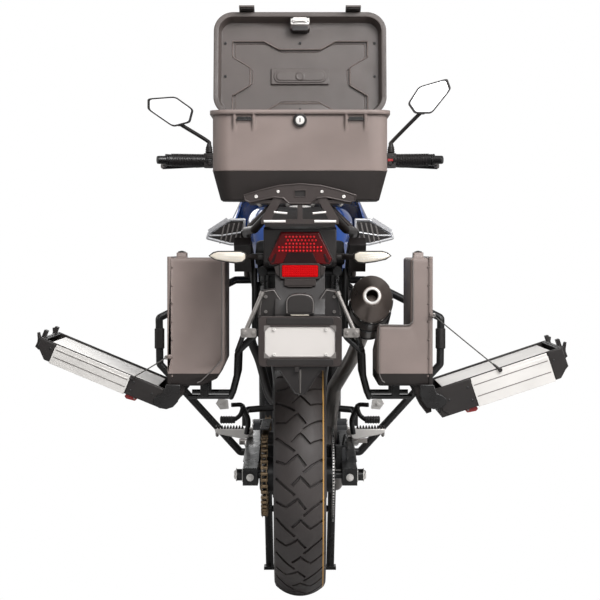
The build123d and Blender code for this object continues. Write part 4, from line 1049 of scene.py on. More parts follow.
def makeTail():
    softened("tail_housing", "frame", "blackPlastic", 2.5, slot="black_plastic")
    y, middle = tail["lensY"], tail["lensZ"]
    bm = newShape()
    outline = [(-46, 931), (46, 931), (77, 866), (70, 853.3), (-70, 853.3), (-77, 866)]
    inner = [(x * 0.965, middle + (z - middle) * 0.93) for x, z in outline]
    addSkin(bm, [[(x, -973.4, z) for x, z in outline], [(x, y + 3.5, z) for x, z in outline],
                 [(x, y, z) for x, z in inner]])
    placed(bm, "tail_lens", "frame", "redLens", 1.2, replaces=("tail_light",))
    # the dots: three staggered rows above, two straight and longer ones below
    radius, step = tail["dotRadius"], tail["dotStep"]
    dot = [(0, radius), (0.8, radius * 0.95), (1.7, radius * 0.7), (2.1, radius * 0.3)]
    for count, rows, low, stagger in ((9, 3, 903.0, 0.5), (13, 2, 886.2, 0.0)):
        bm = newShape()
        addTurned(bm, (-step * (count - 1) / 2, y + 0.4, low), rearward, dot, 14)
        grid = gridOf(count, (step, 0, 0), rows, (0, 0, step), stagger)
        repeated(bm, "tail_dots_%d" % count, "frame", "lampDot", "grid", grid)
    bm = newShape()
    shade = [(-30, 882), (30, 882), (41, 858), (33, 855.5), (-33, 855.5), (-41, 858)]
    addPlate(bm, shade, "y", y + 0.6, y - 1.4)
    for side in leftRight:
        flank = [(side * 56, 879), (side * 60, 879), (side * 71, 858), (side * 62, 858)]
        addPlate(bm, flank, "y", y + 0.6, y - 0.8)
    placed(bm, "tail_shade", "frame", "tailShade", 1.0)
    bm = newShape()
    addBead(bm, [(x * 1.02, y + 7.5, middle + (z - middle) * 1.03) for x, z in outline], 2.2, True)
    placed(bm, "tail_surround", "frame", "blackPlastic")

    # reflector: a moulded block of prisms in a grey bezel with two wings
    bm = newShape()
    centre = (0, tail["reflectorZ"])
    addPlate(bm, roundedOutline(86, 28, 4, centre), "y", y - 3.8, y - 6)
    # face and prisms glow faintly in their red: painted reflection
    placed(bm, "reflector_face", "frame", "reflectRedPaintedGlow", 0.8)
    bm = newShape()
    half = tail["prismStep"] / 2
    tip = Vector((-39, y - 6.9, 827.4))
    base = [tip + Vector((dx * half, 1.2, dz * half)) for dx, dz in ((-1, -1), (1, -1), (1, 1), (-1, 1))]
    addFaces(bm, base + [tip], [(0, 1, 4), (1, 2, 4), (2, 3, 4), (3, 0, 4), (3, 2, 1, 0)])
    grid = gridOf(16, (tail["prismStep"], 0, 0), 5, (0, 0, 5))
    repeated(bm, "reflector_prisms", "frame", "reflectRedPaintedGlow", "grid", grid, soft=20)
    bm = newShape()
    outer, inner = roundedOutline(98, 38, 6, centre), roundedOutline(87, 29, 4, centre)
    addFlatHoop(bm, outer, inner, lying["y"], y, y - 5.5)
    for side in leftRight:
        wing = [(side * 49, 852), (side * 62, 848), (side * 58, 830), (side * 49, 824)]
        addPlate(bm, wing, "y", y + 4, y - 2)
    placed(bm, "reflector_bezel", "frame", "rackDark", 1.0)
    bm = newShape()
    addPlate(bm, roundedOutline(76, 17, 3, (0, 810)), "y", y - 3, y - 13)
    addPlate(bm, roundedOutline(60, 3, 1.4, (0, 800)), "y", y - 3, y - 14)
    placed(bm, "reflector_bracket", "frame", "rackDark", 1.2)


def makePlateLamp():
    # hood with a pale arc round it and a small lens below
    bm = newShape()
    hood = [(-34, 736), (34, 736), (34, 768), (27, 780), (12, 785), (-12, 785), (-27, 780), (-34, 768)]
    addSkin(bm, [[(x, -1028, z) for x, z in hood], [(x, -1056, z) for x, z in hood],
                 [(x * 0.86, -1060, 758 + (z - 758) * 0.86) for x, z in hood]])
    placed(bm, "plate_lamp", "frame", "blackPlastic", 2.0)
    bm = newShape()
    arc = [(-31, 738), (-31, 766), (-22, 778), (0, 782), (22, 778), (31, 766), (31, 738)]
    addTube(bm, [(x, -1059.5, z) for x, z in arc], 1.3, 10)
    placed(bm, "plate_lamp_arc", "frame", "rackGrey")
    bm = newShape()
    addPlate(bm, roundedOutline(44, 5, 2, (0, 734)), "y", -1034, -1056)
    placed(bm, "plate_lamp_lens", "frame", "clearLens", 0.6)

    # screws and a moulded step on the guard's face
    bm = newShape()
    y = tail["guardY"]
    for side in leftRight:
        step = [(96, 732), (96, 745), (89, 788), (63, 792), (40, 757)]
        addBead(bm, [(side * x, y - 0.4, z) for x, z in step], 1.3)
        for z in (776, 740):
            addSocketScrew(bm, (side * 82, y, z), rearward, 4.2)
    placed(bm, "guard_trim", "frame", "rackGrey")


makeTail()
makePlateLamp()


# number plate holder, flap and the lugs beside it
plate = dict(width=172.0, height=76.0, centreZ=669.0, y=-1052.0, frameWidth=198.0, frameHeight=120.0,
             frameZ=670.0, flapY=-1044.0, lugX=123.0, lugY=-1045.0, lugZ=690.0)


def makePlateHolder():
    bm = newShape()
    outer = roundedOutline(plate["frameWidth"], plate["frameHeight"], 12, (0, plate["frameZ"]), 8)
    inner = roundedOutline(plate["width"] - 4, plate["height"] - 4, 5, (0, plate["centreZ"]), 8)
    face = plate["y"]
    addFlatHoop(bm, outer, inner, lying["y"], face + 3, face - 3)
    placed(bm, "plate_frame", "frame", "rackDark", 1.2)
    bm = newShape()
    for z, height in ((718.5, 17), (620.5, 15)):
        addPlate(bm, roundedOutline(160, height, 4, (0, z)), "y", face - 2.6, face - 4)
    placed(bm, "plate_frame_bands", "frame", "blackPlastic", 0.8)
    bm = newShape()
    outer = roundedOutline(164, 68, 6, (0, plate["centreZ"]), 6)
    addBead(bm, [(x, face - 0.1, z) for x, z in outer], 0.8, True)
    placed(bm, "plate_border", "frame", "plateWhite")
    bm = newShape()
    for side in leftRight:
        for z, tipZ in ((700, 708), (638, 630)):
            tab = [(side * 86, z - 8), (side * 70, tipZ), (side * 86, z + 8)]
            addPlate(bm, tab, "y", face - 3.2, face - 1)
    placed(bm, "plate_tabs", "frame", "rackGrey", 0.4)
    bm = newShape()
    addSocketScrew(bm, (-62, face - 0.4, 699), rearward, 4.0)
    repeated(bm, "plate_screws", "frame", "brightAluminium", "grid", gridOf(2, (124, 0, 0), 2, (0, 0, -60)))


def makeFlap():
    # pale ridge, folded edges, tab
    y = plate["flapY"]
    bm = newShape()
    addSkin(bm, [[(-3.4, y, 603), (3.4, y, 603), (0, y - 5, 603)],
                 [(-2.2, y, 546), (2.2, y, 546), (0, y - 2.5, 546)]])
    placed(bm, "flap_ridge", "frame", "rackGrey", 0.3)
    bm = newShape()
    addBead(bm, [(x, y - 0.2, z) for x, z in ((-48, 599), (-12, 546), (0, 542), (12, 546), (48, 599))], 1.8)
    addPlate(bm, roundedOutline(11, 13, 2, (-7, 603)), "y", y - 6, y - 12)
    placed(bm, "flap_edges", "frame", "blackPlastic")


def makeRackLugs():
    # lugs that carry the case rack, and its struts with their sleeves
    y, z = plate["lugY"], plate["lugZ"]
    bm = newShape()
    for side in leftRight:
        addPlate(bm, roundedOutline(38, 22, 5, (side * plate["lugX"], z)), "y", y + 5.2, y)
        addBolt(bm, (side * (plate["lugX"] + 10), y, z), rearward, 6.0)
        addBolt(bm, (side * (plate["lugX"] - 11), y, z), rearward, 4.2)
    placed(bm, "rack_lugs", "frame", "steelGrey", 0.8)
    bm = newShape()
    for side in leftRight:
        foot, head = Vector((side * 128, -1034, 698)), Vector((side * 91, -1030, 783))
        addRod(bm, foot, head, 5.6, 16)
        addTurned(bm, head, head - foot, [(-6, 6.4), (-5, 7.2), (5, 7.2), (6, 6.0)], 18)
    placed(bm, "lug_struts", "frame", "steelGrey")


makePlateHolder()
makeFlap()
makeRackLugs()


# leaf-shaped indicators on short stalks
indicators = dict(middleX=172.0, middleZ=872.0, housingY=-1016.0, lensY=-1040.0, dotColumns=9, dotRows=3)


def makeIndicators():
    leaf = [(128, 866), (136, 857.5), (150, 855), (178, 858.6), (205, 864.5), (219, 874), (208, 883),
            (196, 886), (140, 886), (128, 880)]
    middleX, middleZ = indicators["middleX"], indicators["middleZ"]

    def leafAt(y, wide=1.0, high=1.0):
        return [(middleX + (x - middleX) * wide, y, middleZ + (z - middleZ) * high) for x, z in leaf]

    lensY = indicators["lensY"]
    bm = newShape()
    addSkin(bm, [leafAt(indicators["housingY"]), leafAt(lensY + 1), leafAt(lensY - 1, 0.97, 0.94)])
    stalk = [(88, -970, 872), (106, -973, 872), (120, -996, 871.6), (136, -1022, 871)]
    addTube(bm, stalk, [8, 7.5, 6.5, 6], 16)
    mirrorX(bm)
    placed(bm, "indicator_bodies", "frame", "blackPlastic", 1.0,
           replaces=("rear_indicators",))
    bm = newShape()
    addSkin(bm, [leafAt(lensY, 0.93, 0.80), leafAt(lensY - 3, 0.93, 0.80), leafAt(lensY - 5, 0.82, 0.62)])
    mirrorX(bm)
    placed(bm, "indicator_lenses", "frame", "clearLens", 0.6)
    columns, rows = indicators["dotColumns"], indicators["dotRows"]
    for side, label in bothSides:
        bm = newShape()
        addTurned(bm, (side * 146, lensY - 4.7, 866), rearward, [(0, 1.5), (0.5, 1.2), (0.8, 0.6)], 8)
        grid = gridOf(columns, (side * 5.6, 0, 0.35), rows, (0, 0, 5.2), 0.5)
        repeated(bm, "indicator_dots_" + label, "frame", "ventSilver", "grid", grid)


makeIndicators()


# silver side intakes: beaded frames, dark wells and slats
intakes = dict(rearY=150.0, frameRadius=4.2, slats=5)


def makeIntakes():
    outline = [(160, 905), (200, 905), (267, 922), (262, 938), (200, 975), (160, 975)]
    y = intakes["rearY"]
    bm = newShape()
    addBead(bm, [(x, y - 1.0, z) for x, z in outline], intakes["frameRadius"], True, 12)
    addBead(bm, [(163, y - 2, 940), (225, y - 2, 930), (262, y - 2, 930)], 2.6, False, 10)
    addPlate(bm, [(206, 972), (262, 940), (266, 946), (212, 981)], "y", y + 40, y - 6)
    mirrorX(bm)
    placed(bm, "intake_frames", "frame", "ventSilver")
    bm = newShape()
    well = [(163, 909), (199, 909), (260, 925), (256, 935), (199, 970), (163, 970)]
    addPlate(bm, well, "y", y - 0.1, y - 1.6)
    mirrorX(bm)
    placed(bm, "intake_wells", "frame", "blackPlastic")
    for side, label in bothSides:
        bm = newShape()
        addSkin(bm, [[(side * x, y - 4.5, z), (side * (x + 4), y - 4.5, z - 1),
                      (side * (x + 4), y - 1.2, z + 2), (side * x, y - 1.2, z + 3)]
                     for x, z in ((172, 912), (160, 966))])
        grid = gridOf(intakes["slats"], (side * 14, 0, -1.2))
        repeated(bm, "intake_slats_" + label, "frame", "rackGrey", "grid", grid)


makeIntakes()


# silencer: straps, bright tail ring, bore, rivets, bracket and heat shield
muffler = dict(rise=10.0, backX=174.0, backZ=776.0, width=103.0, height=118.0, strapAt=190.0, rivets=12)


def makeMuffler():
    rise = math.radians(muffler["rise"])
    way = Vector((0, math.cos(rise), -math.sin(rise)))
    over = way.cross(Vector((1, 0, 0)))
    back = Vector((muffler["backX"], corner("silencer", 0, 0, 0)[1] + 13.8, muffler["backZ"]))
    halfWidth, halfHeight = muffler["width"] / 2, muffler["height"] / 2

    def addStrap(bm, distance, wide, grow):
        rings = []
        for d, g in ((-wide / 2, 0.2), (-wide / 2 + 0.8, grow), (wide / 2 - 0.8, grow), (wide / 2, 0.2)):
            centre = back + way * (distance + d)
            rings.append(ringAt(centre, way, halfWidth + g, 56, (halfHeight + g) / (halfWidth + g)))
        addSkin(bm, rings)

    bm = newShape()
    for distance, wide, grow in ((66, 12, 2.0), (muffler["strapAt"], 26, 2.4), (324, 10, 2.0)):
        addStrap(bm, distance, wide, grow)
    placed(bm, "silencer_straps", "frame", "blackSteel")
    bm = newShape()
    lip = ((-11.5, 14.2), (-13, 17), (-12.5, 20), (-9, 21.4), (4, 21.2), (8, 22.4), (12, 21), (12, 14.2))
    addHoop(bm, [ringAt(back + way * d, way, r, 48) for d, r in lip])
    placed(bm, "tailpipe_ring", "frame", "brightAluminium")
    # the bore is near black: painted shade inside the pipe's mouth
    bm = newShape()
    bore = ((-12, 14.6), (60, 14.6), (60, 13.4), (-12, 13.4))
    addHoop(bm, [ringAt(back + way * d, way, r, 40) for d, r in bore])
    placed(bm, "tailpipe_bore", "frame", "paintedShadeBlack")
    bm = newShape()
    middle = back + way * 50
    for k in range(muffler["rivets"]):
        a = 2 * math.pi * k / muffler["rivets"]
        spot = middle + Vector((math.cos(a) * 50.8, 0, 0)) + over * math.sin(a) * 58.2
        out = (spot - middle).normalized()
        addTurned(bm, spot - out * 0.5, out, [(0, 3.0), (1.4, 2.6), (2.0, 1.2)], 10)
    placed(bm, "silencer_rivets", "frame", "brightAluminium")
    # bracket rib from the strap to the seat rail
    bm = newShape()
    strap = back + way * muffler["strapAt"]
    foot, head = strap.z + 54, 838
    rib = [(strap.y - 12, foot), (strap.y + 12, foot), (strap.y + 20, head), (strap.y + 2, head)]
    addPlate(bm, rib, "x", 118, 124)
    addRod(bm, (122, strap.y, strap.z + 50), (146, strap.y, strap.z + 46), 5, 14)
    addSocketScrew(bm, (124, strap.y + 9, 828), (1, 0, 0), 6)
    placed(bm, "silencer_bracket", "frame", "blackSteel", 0.8)

    # heat shield: a curved sheet, its inner face and then its outer one
    def shieldArc(distance, wide, high, degrees):
        middle = back + way * 250 + way * distance
        angles = [math.radians(t) for t in degrees]
        return [middle + Vector((wide * math.cos(a), 0, 0)) + over * math.sin(a) * high for a in angles]

    bm = newShape()
    addSkin(bm, [shieldArc(d, 52.8, 60.3, range(-50, 51, 10)) + shieldArc(d, 54.6, 62, range(50, -51, -10))
                 for d in (-40, 50)])
    placed(bm, "silencer_shield", "frame", "blackSteel", 0.5)


makeMuffler()
print("rear end dressed")

# tyres with a cut tread, turned about the axle
tyres = dict(
    rear=dict(width=130.0, radius=307.5, rim=193.0, rimHalf=44.0, repeats=18,
              grooveWidth=8.5, grooveDepth=7.0),
    front=dict(width=100.0, radius=318.6, rim=231.0, rimHalf=33.0, repeats=20,
               grooveWidth=6.5, grooveDepth=5.5),
)
# groove lines of one repeat on the rear tyre: (across, along), with the next repeat 106 further along
groovePitch = 106.0
grooveLines = (
    ((-59, 10), (-34, 0), (-6, 23), (14, -4)),
    ((-59, 72), (-38, 52), (-13, 31)),
    ((-20, 54), (1, 76), (25, 50), (59, 68)),
    ((8, 86), (30, 104), (59, 122)),
)


crownShare = 0.47  # from the middle of the tread to its shoulder, of the tyre's width
crownDrop = 0.20
turnSteps = 216


def crownRadius(tyre, x):
    # the tread is an arc from shoulder to shoulder
    half = tyre["width"] * crownShare
    drop = tyre["width"] * crownDrop
    bow = (half ** 2 + drop ** 2) / (2 * drop)
    return tyre["radius"] - bow + math.sqrt(max(bow ** 2 - x ** 2, 0.0))


def axleOf(node):
    low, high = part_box(node)
    return (low + high) / 2 / unit


def tyreSection(tyre):
    width, rim, rimHalf = tyre["width"], tyre["rim"], tyre["rimHalf"]
    half, wall = width * crownShare, width / 2
    shoulder = tyre["radius"] - width * crownDrop
    beadTop = rim + 14.0
    span = shoulder - beadTop
    crown = [half * t for t in (0, 0.12, 0.24, 0.36, 0.48, 0.6, 0.72, 0.84, 0.94, 1.0)]
    sidewall = ((half + 3.4, 0.12), (wall, 0.36), (wall - 0.8, 0.38), (wall - 0.8, 0.42), (wall, 0.44),
                (width * 0.488, 0.66), (rimHalf + (wall - rimHalf) * 0.55, 0.86))
    profile = [(x, crownRadius(tyre, x)) for x in crown]
    profile += [(x, shoulder - span * share) for x, share in sidewall]
    profile += [(rimHalf + 2.0, beadTop + 1), (rimHalf, beadTop - 4), (rimHalf, rim)]
    return [(-x, r) for x, r in reversed(profile[1:])] + profile


def makeTyre(kind):
    tyre = tyres[kind]
    body = kind + "_wheel_body"
    axle = axleOf(kind + "_tyre")
    width = tyre["width"]
    half = width * crownShare
    bm = newShape()
    addAroundAxle(bm, axle, tyreSection(tyre), turnSteps)
    piece = placed(bm, kind + "_tread", body, "tyreRubber", soft=32,
                   replaces=(kind + "_tyre",))

    # the cutter: every groove of one repeat, then copied round the axle
    bm = newShape()
    scale = width / tyres["rear"]["width"]
    pitch = 2 * math.pi / tyre["repeats"]
    cutWidth, depth = tyre["grooveWidth"] / 2, tyre["grooveDepth"]
    for line in grooveLines:
        points = [Vector((x * scale, s)) for x, s in line]
        fine = []
        for a, b in zip(points, points[1:]):
            count = max(2, int((b - a).length / 7))
            fine += [a + (b - a) * i / count for i in range(count)]
        fine.append(points[-1])
        rings = []
        for i, p in enumerate(fine):
            ahead = (fine[min(i + 1, len(fine) - 1)] - fine[max(i - 1, 0)]).normalized()
            side = Vector((-ahead.y, ahead.x)) * cutWidth
            ring = []
            for sign, lift, narrow in ((-1, 4.0, 1.0), (1, 4.0, 1.0), (1, -depth, 0.6), (-1, -depth, 0.6)):
                spot = p + side * sign * narrow
                r = crownRadius(tyre, min(abs(spot.x), half)) + lift
                ring.append(aroundAxle(axle, spot.x, r, spot.y / groovePitch * pitch))
            rings.append(ring)
        addSkin(bm, rings)
    cutter = repeated(bm, kind + "_cutter", body, "tyreRubber", "ring", ringOf(tyre["repeats"], axle))
    cutter.parent = None  # it is used up here, so it rides nothing
    cutBy(piece, cutter)
    # narrow coloured line on one shoulder
    if kind == "rear":
        bm = newShape()
        near, far = half - 5.5, half - 2.2
        line = ((near, 0.4), (far, 0.4), (far, -1.0), (near, -1.0))
        addAroundAxle(bm, axle, [(x, crownRadius(tyre, x) + lift) for x, lift in line], turnSteps)
        placed(bm, "tread_line", body, "goldStripe")


for kind in tyres:
    makeTyre(kind)
print("tyres cut")


# wheels: brake disc with its holes and bolts, rim beads, spoke ribs and valve
discs = dict(rear=dict(x=84.0, radius=120.0), front=dict(x=-66.0, radius=140.0), holes=32, bolts=6, spokes=5)


def makeWheelTrim(kind):
    body = kind + "_wheel_body"
    rim, rimHalf = tyres[kind]["rim"], tyres[kind]["rimHalf"]
    discX, discRadius = discs[kind]["x"], discs[kind]["radius"]
    axle = axleOf(kind + "_wheel")
    axle.x = 0
    outSide = 1 if discX > 0 else -1
    bm = newShape()
    for row, (share, size) in enumerate(((0.93, 2.6), (0.83, 3.2), (0.73, 2.6))):
        spot = aroundAxle(axle, discX, discRadius * share, row * 0.065)
        for side in leftRight:
            addRod(bm, spot + Vector((side * 2.4, 0, 0)), spot + Vector((side * 2.75, 0, 0)), size, 14)
    repeated(bm, "disc_holes_" + kind, body, "blackSteel", "ring", ringOf(discs["holes"], axle))
    bm = newShape()
    inside, rounded = discRadius * 0.68, discRadius - 0.4
    section = [(-2.72, inside), (-2.72, rounded), (-2.0, discRadius), (2.0, discRadius), (2.72, rounded),
               (2.72, inside)]
    addAroundAxle(bm, axle, [(discX + x, r) for x, r in section], 96)
    placed(bm, "disc_face_" + kind, body, "brightAluminium", soft=25)
    bm = newShape()
    addBolt(bm, aroundAxle(axle, discX + outSide * 2.6, 33, 0), (outSide, 0, 0), 4.6)
    repeated(bm, "disc_bolts_" + kind, body, "steelGrey", "ring", ringOf(discs["bolts"], axle))
    bm = newShape()
    bead = ((-1.2, 11), (0, 11.4), (0.9, 9), (0.9, 4), (-1.2, 3))
    for side in leftRight:
        edge = side * (rimHalf + 7.2)
        addAroundAxle(bm, axle, [(edge + side * x, rim + rise) for x, rise in bead], 120)
    placed(bm, "rim_edges_" + kind, body, "wheelBlack", soft=25)
    # raised ribs on the spokes' flanks and the valve
    bm = newShape()
    for side in leftRight:
        for a in (-0.13, 0.13):
            inner = aroundAxle(axle, side * 13.2, 58, a * 1.4)
            outer = aroundAxle(axle, side * 13.2, rim - 34, a * 0.72)
            addRod(bm, inner, outer, 2.4, 10)
    repeated(bm, "spoke_ribs_" + kind, body, "wheelBlack", "ring", ringOf(discs["spokes"], axle))
    bm = newShape()
    valve = [(-2, 4.2), (4, 4.0), (6, 2.8), (26, 2.8), (27, 3.4), (34, 3.4), (35, 2.4)]
    spot = aroundAxle(axle, 10, rim - 27, 0.6)
    addTurned(bm, spot, axle - spot + Vector((14, 0, 0)), valve, 16)
    placed(bm, "valve_" + kind, body, "blackPlastic")


for kind in tyres:
    makeWheelTrim(kind)


# drive chain: pairs of links round both sprockets, each given as (y, z, radius)
chain = dict(x=-90.0, rear=(-649.0, 314.0, 101.0), front=(-14.0, 365.0, 46.5), pairs=56,
             teeth=42, toothFoot=93.0, bolts=5)


def makeChain():
    (yr, zr, rr), (yf, zf, rf) = chain["rear"], chain["front"]
    reach = math.hypot(yf - yr, zf - zr)
    slope = math.atan2(zf - zr, yf - yr)
    lean = math.acos((rr - rf) / reach)
    rearWrap, frontWrap = 2 * math.pi - 2 * lean, 2 * lean
    points = []
    for k in range(21):  # round the rear sprocket, then the front one
        a = slope + lean + rearWrap * k / 20
        points.append((chain["x"], yr + rr * math.cos(a), zr + rr * math.sin(a)))
    for k in range(13):
        a = slope - lean + frontWrap * k / 12
        points.append((chain["x"], yf + rf * math.cos(a), zf + rf * math.sin(a)))
    track = addLine("chainLine", points)
    track.data.splines[0].use_cyclic_u = True
    # one pair of links, drawn along Z, which is the line's own direction
    length = 2 * (reach * math.sin(lean)) + rearWrap * rr + frontWrap * rf
    pitch = length / chain["pairs"] / 2

    def across(x, along, high):
        return Vector((x, high, along))

    def addLink(bm, centre, wide, tall, x, thick):
        for side in leftRight:
            ring = []
            for k in range(20):
                a = 2 * math.pi * k / 20
                bulge = wide / 2 * math.copysign(1, math.cos(a)) if abs(math.cos(a)) > 0.02 else 0
                waist = tall * (0.82 if abs(math.cos(a)) < 0.4 else 1.0)
                ring.append((bulge + tall * math.cos(a), waist * math.sin(a)))
            addSkin(bm, [[across(side * (x + e), along + centre, high) for along, high in ring]
                         for e in (0, thick)])

    bm = newShape()
    addLink(bm, 0, pitch, 5.6, 6.6, 1.6)
    addLink(bm, pitch, pitch, 5.6, 4.6, 1.6)
    for along in (-pitch / 2, pitch / 2):
        addRod(bm, across(-8.9, along, 0), across(8.9, along, 0), 2.6, 12)
        addRod(bm, across(-4.4, along, 0), across(4.4, along, 0), 5.0, 14)
    settings = {"Track": track, "Count": chain["pairs"]}
    piece = repeated(bm, "chain_links", "frame", "chainBronze", "track", settings)
    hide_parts("drive_chain")
    bpy.data.objects.remove(track)
    # sprocket teeth and the sprocket's face
    bm = newShape()
    rim = chain["toothFoot"]
    centre = Vector((chain["x"], yr, zr))
    base = [aroundAxle(centre, chain["x"] - 2.8, rim, a) for a in (-0.05, 0.05)]
    tip = [aroundAxle(centre, chain["x"] - 1.6, rim + 7, a) for a in (-0.018, 0.018)]
    far = [p + Vector((5.6, 0, 0)) for p in base]
    farTip = [p + Vector((3.2, 0, 0)) for p in tip]
    addSkin(bm, [[base[0], base[1], tip[1], tip[0]], [far[0], far[1], farTip[1], farTip[0]]])
    body = "rear_wheel_body"
    repeated(bm, "sprocket_teeth", body, "steelGrey", "ring", ringOf(chain["teeth"], centre))
    bm = newShape()
    addBolt(bm, aroundAxle(centre, chain["x"] - 3, 56, 0), (-1, 0, 0), 6)
    repeated(bm, "sprocket_bolts", body, "brightAluminium", "ring", ringOf(chain["bolts"], centre))
    bm = newShape()
    section = [(-3.3, 64), (-3.3, 90), (-2.9, 90.5), (-2.9, 64)]
    addAroundAxle(bm, centre, [(chain["x"] + x, r) for x, r in section], 90)
    placed(bm, "sprocket_ring", body, "steelGrey", soft=25)


makeChain()


# axle ends, chain adjusters, brake calipers
def makeRunningGear():
    y, z, _ = chain["rear"]
    bm = newShape()
    for side in leftRight:
        addBolt(bm, (side * 161, y, z), (side, 0, 0), 12.5, 0.5)
        addRod(bm, (side * 126, y - 75, z), (side * 126, y - 93, z), 4.4, 12)
        addBolt(bm, (side * 126, y - 79, z), rearward, 7)
        addPlate(bm, roundedOutline(48, 30, 4, (y - 15, z)), "x", side * 145, side * 147.4)
    placed(bm, "axle_nuts", "frame", "brightAluminium", 0.5)
    bm = newShape()
    for side in leftRight:
        addBead(bm, [(side * 145.4, -560, 340), (side * 145.4, -140, 366)], 2.2)
        addBead(bm, [(side * 145.4, -560, 308), (side * 145.4, -140, 350)], 2.2)
    placed(bm, "arm_ribs", "frame", "blackSteel")
    softened("swingarm", "frame", "blackSteel", 3.0, slot="black_steel")
    # rear caliper
    bm = newShape()
    housing = [(-570, 322), (-530, 320), (-510, 332), (-507, 366), (-524, 380), (-566, 378), (-573, 350)]
    addPlate(bm, housing, "x", 108.4, 118)
    for y, z in ((-552, 349), (-526, 352)):
        addTurned(bm, (118, y, z), (1, 0, 0), [(-1, 11.5), (2.6, 11.5), (4.0, 10), (4.0, 6), (2.6, 5.5)], 24)
    placed(bm, "rear_caliper", "frame", "engineGrey", 1.4)
    bm = newShape()
    hose = [(112, -520, 380), (118, -490, 404), (122, -420, 392), (126, -330, 384), (126, -240, 380)]
    addTube(bm, hose, 3.2, 12)
    placed(bm, "rear_brake_hose", "frame", "blackSteel")
    # front caliper, in two halves with a bridge over the disc
    bm = newShape()
    housing = [(664, 430), (700, 444), (704, 404), (694, 360), (660, 340), (640, 372), (644, 412)]
    addPlate(bm, housing, "x", -82, -106)
    addPlate(bm, housing, "x", -50, -59)
    for y, z in ((676, 410), (670, 376)):
        piston = [(-1, 12), (2.6, 12), (4.0, 10.4), (4.0, 6), (2.6, 5.5)]
        addTurned(bm, (-105.5, y, z), (-1, 0, 0), piston, 24)
    addPlate(bm, [(664, 430), (700, 444), (704, 404), (690, 400)], "x", -59, -82)
    placed(bm, "front_caliper", "steering", "engineGrey", 1.4)


makeRunningGear()


# passenger pegs on their hangers, behind the rider's pegs
hanger = dict(y=-330.0, x=206.0, pegZ=432.0, plateZ=476.0)


def makeHangers():
    x, y, z, pegZ = hanger["x"], hanger["y"], hanger["plateZ"], hanger["pegZ"]
    bm = newShape()
    plate = [(x - 15, z - 14), (x + 8, z - 16), (x + 20, z), (x + 12, z + 14), (x - 12, z + 10)]
    addPlate(bm, plate, "y", y - 7, y + 3)
    addBolt(bm, (x + 2, y - 7, z - 1), rearward, 5)
    mirrorX(bm)
    placed(bm, "hanger_plates", "frame", "brightAluminium", 1.2)
    bm = newShape()
    rubber = [(0, 8), (1.5, 9.5), (38, 9.5), (40, 8.5), (41, 6)]
    addTurned(bm, (x - 32, y, pegZ), (1, 0, 0), rubber, 24)
    for k in range(5):
        rib = [(0, 9.4), (0.6, 10.6), (2.6, 10.6), (3.2, 9.4)]
        addTurned(bm, (x - 24 + 7 * k, y, pegZ), (1, 0, 0), rib, 24)
    addTube(bm, [(x - 30, y, pegZ), (x - 46, y + 4, 446), (x - 50, y + 8, 470), (x - 22, y, z - 4)], 6, 14)
    addTube(bm, [(x - 50, y + 8, 470), (x - 66, y + 20, 430), (x - 62, y + 34, 392)], 7, 14)
    mirrorX(bm)
    placed(bm, "passenger_pegs", "frame", "blackSteel")


makeHangers()


# foot pegs: bright body, toothed tread, hanger bolts
pegs = dict(top=399.0, toothTip=406.0, y=-200.0)


def makePegs():
    bm = newShape()
    y, top = pegs["y"], pegs["top"]
    board = [(140, 374), (158, 372), (224, 385), (232, 391), (233, top), (140, top)]
    addPlate(bm, board, "y", y - 21, y + 21)
    addPlate(bm, [(129, 376), (141, 376), (152, 386), (152, 397), (129, 403)], "y", y - 14, y + 14)
    mirrorX(bm)
    placed(bm, "peg_bodies", "frame", "brightAluminium", 2.0,
           replaces=("foot_pegs",))
    for side, label in bothSides:
        bm = newShape()
        x = side * 158
        foot = [(-3.4, -19), (3.4, -19), (3.4, -12), (-3.4, -12)]
        tip = [(-1.4, -18), (1.4, -18), (1.4, -13), (-1.4, -13)]
        addSkin(bm, [[(x + u, y + v, z) for u, v in ring]
                     for ring, z in ((foot, top - 0.2), (tip, pegs["toothTip"]))])
        repeated(bm, "peg_teeth_" + label, "frame", "blackPlastic", "grid",
                 gridOf(10, (side * 8, 0, 0), 4, (0, 10.2, 0)))
    bm = newShape()
    for side in leftRight:
        addBolt(bm, (side * 135, y - 14.5, 390), rearward, 6)
        addTurned(bm, (side * 227, y, 388), (0, 0, -1), [(0, 5), (9, 4.4), (12, 2.2)], 16)
    placed(bm, "peg_bolts", "frame", "steelGrey", 0.3)
    # gear lever on the left, brake pedal on the right
    bm = newShape()
    addTube(bm, [(-128, -60, 330), (-146, -40, 334), (-152, 10, 338), (-154, 60, 342)], 5.5, 14)
    addTurned(bm, (-146, 60, 342), (-1, 0, 0), [(-4, 8), (-3, 9), (26, 9), (27, 8)], 18)
    addTube(bm, [(132, -170, 356), (150, -130, 352), (158, -60, 346), (160, 0, 346)], 6, 14)
    addPlate(bm, roundedOutline(48, 40, 6, (166, 6)), "z", 344, 356)
    placed(bm, "foot_levers", "frame", "steelGrey", 0.8)


makePegs()
print("wheels, chain and pegs dressed")

# handlebar: ribbed grips, bar ends, levers, switches, cable loops
bars = dict(x=329.0, y=206.8, height=1149.0, sweep=0.319, gripStart=279.0, ribs=20, ribStep=5.0)
barWay = Vector((0.9527, -0.3039, 0))


def onBar(side, x):
    return Vector((side * x, bars["y"] - (x - bars["x"]) * bars["sweep"], bars["height"]))


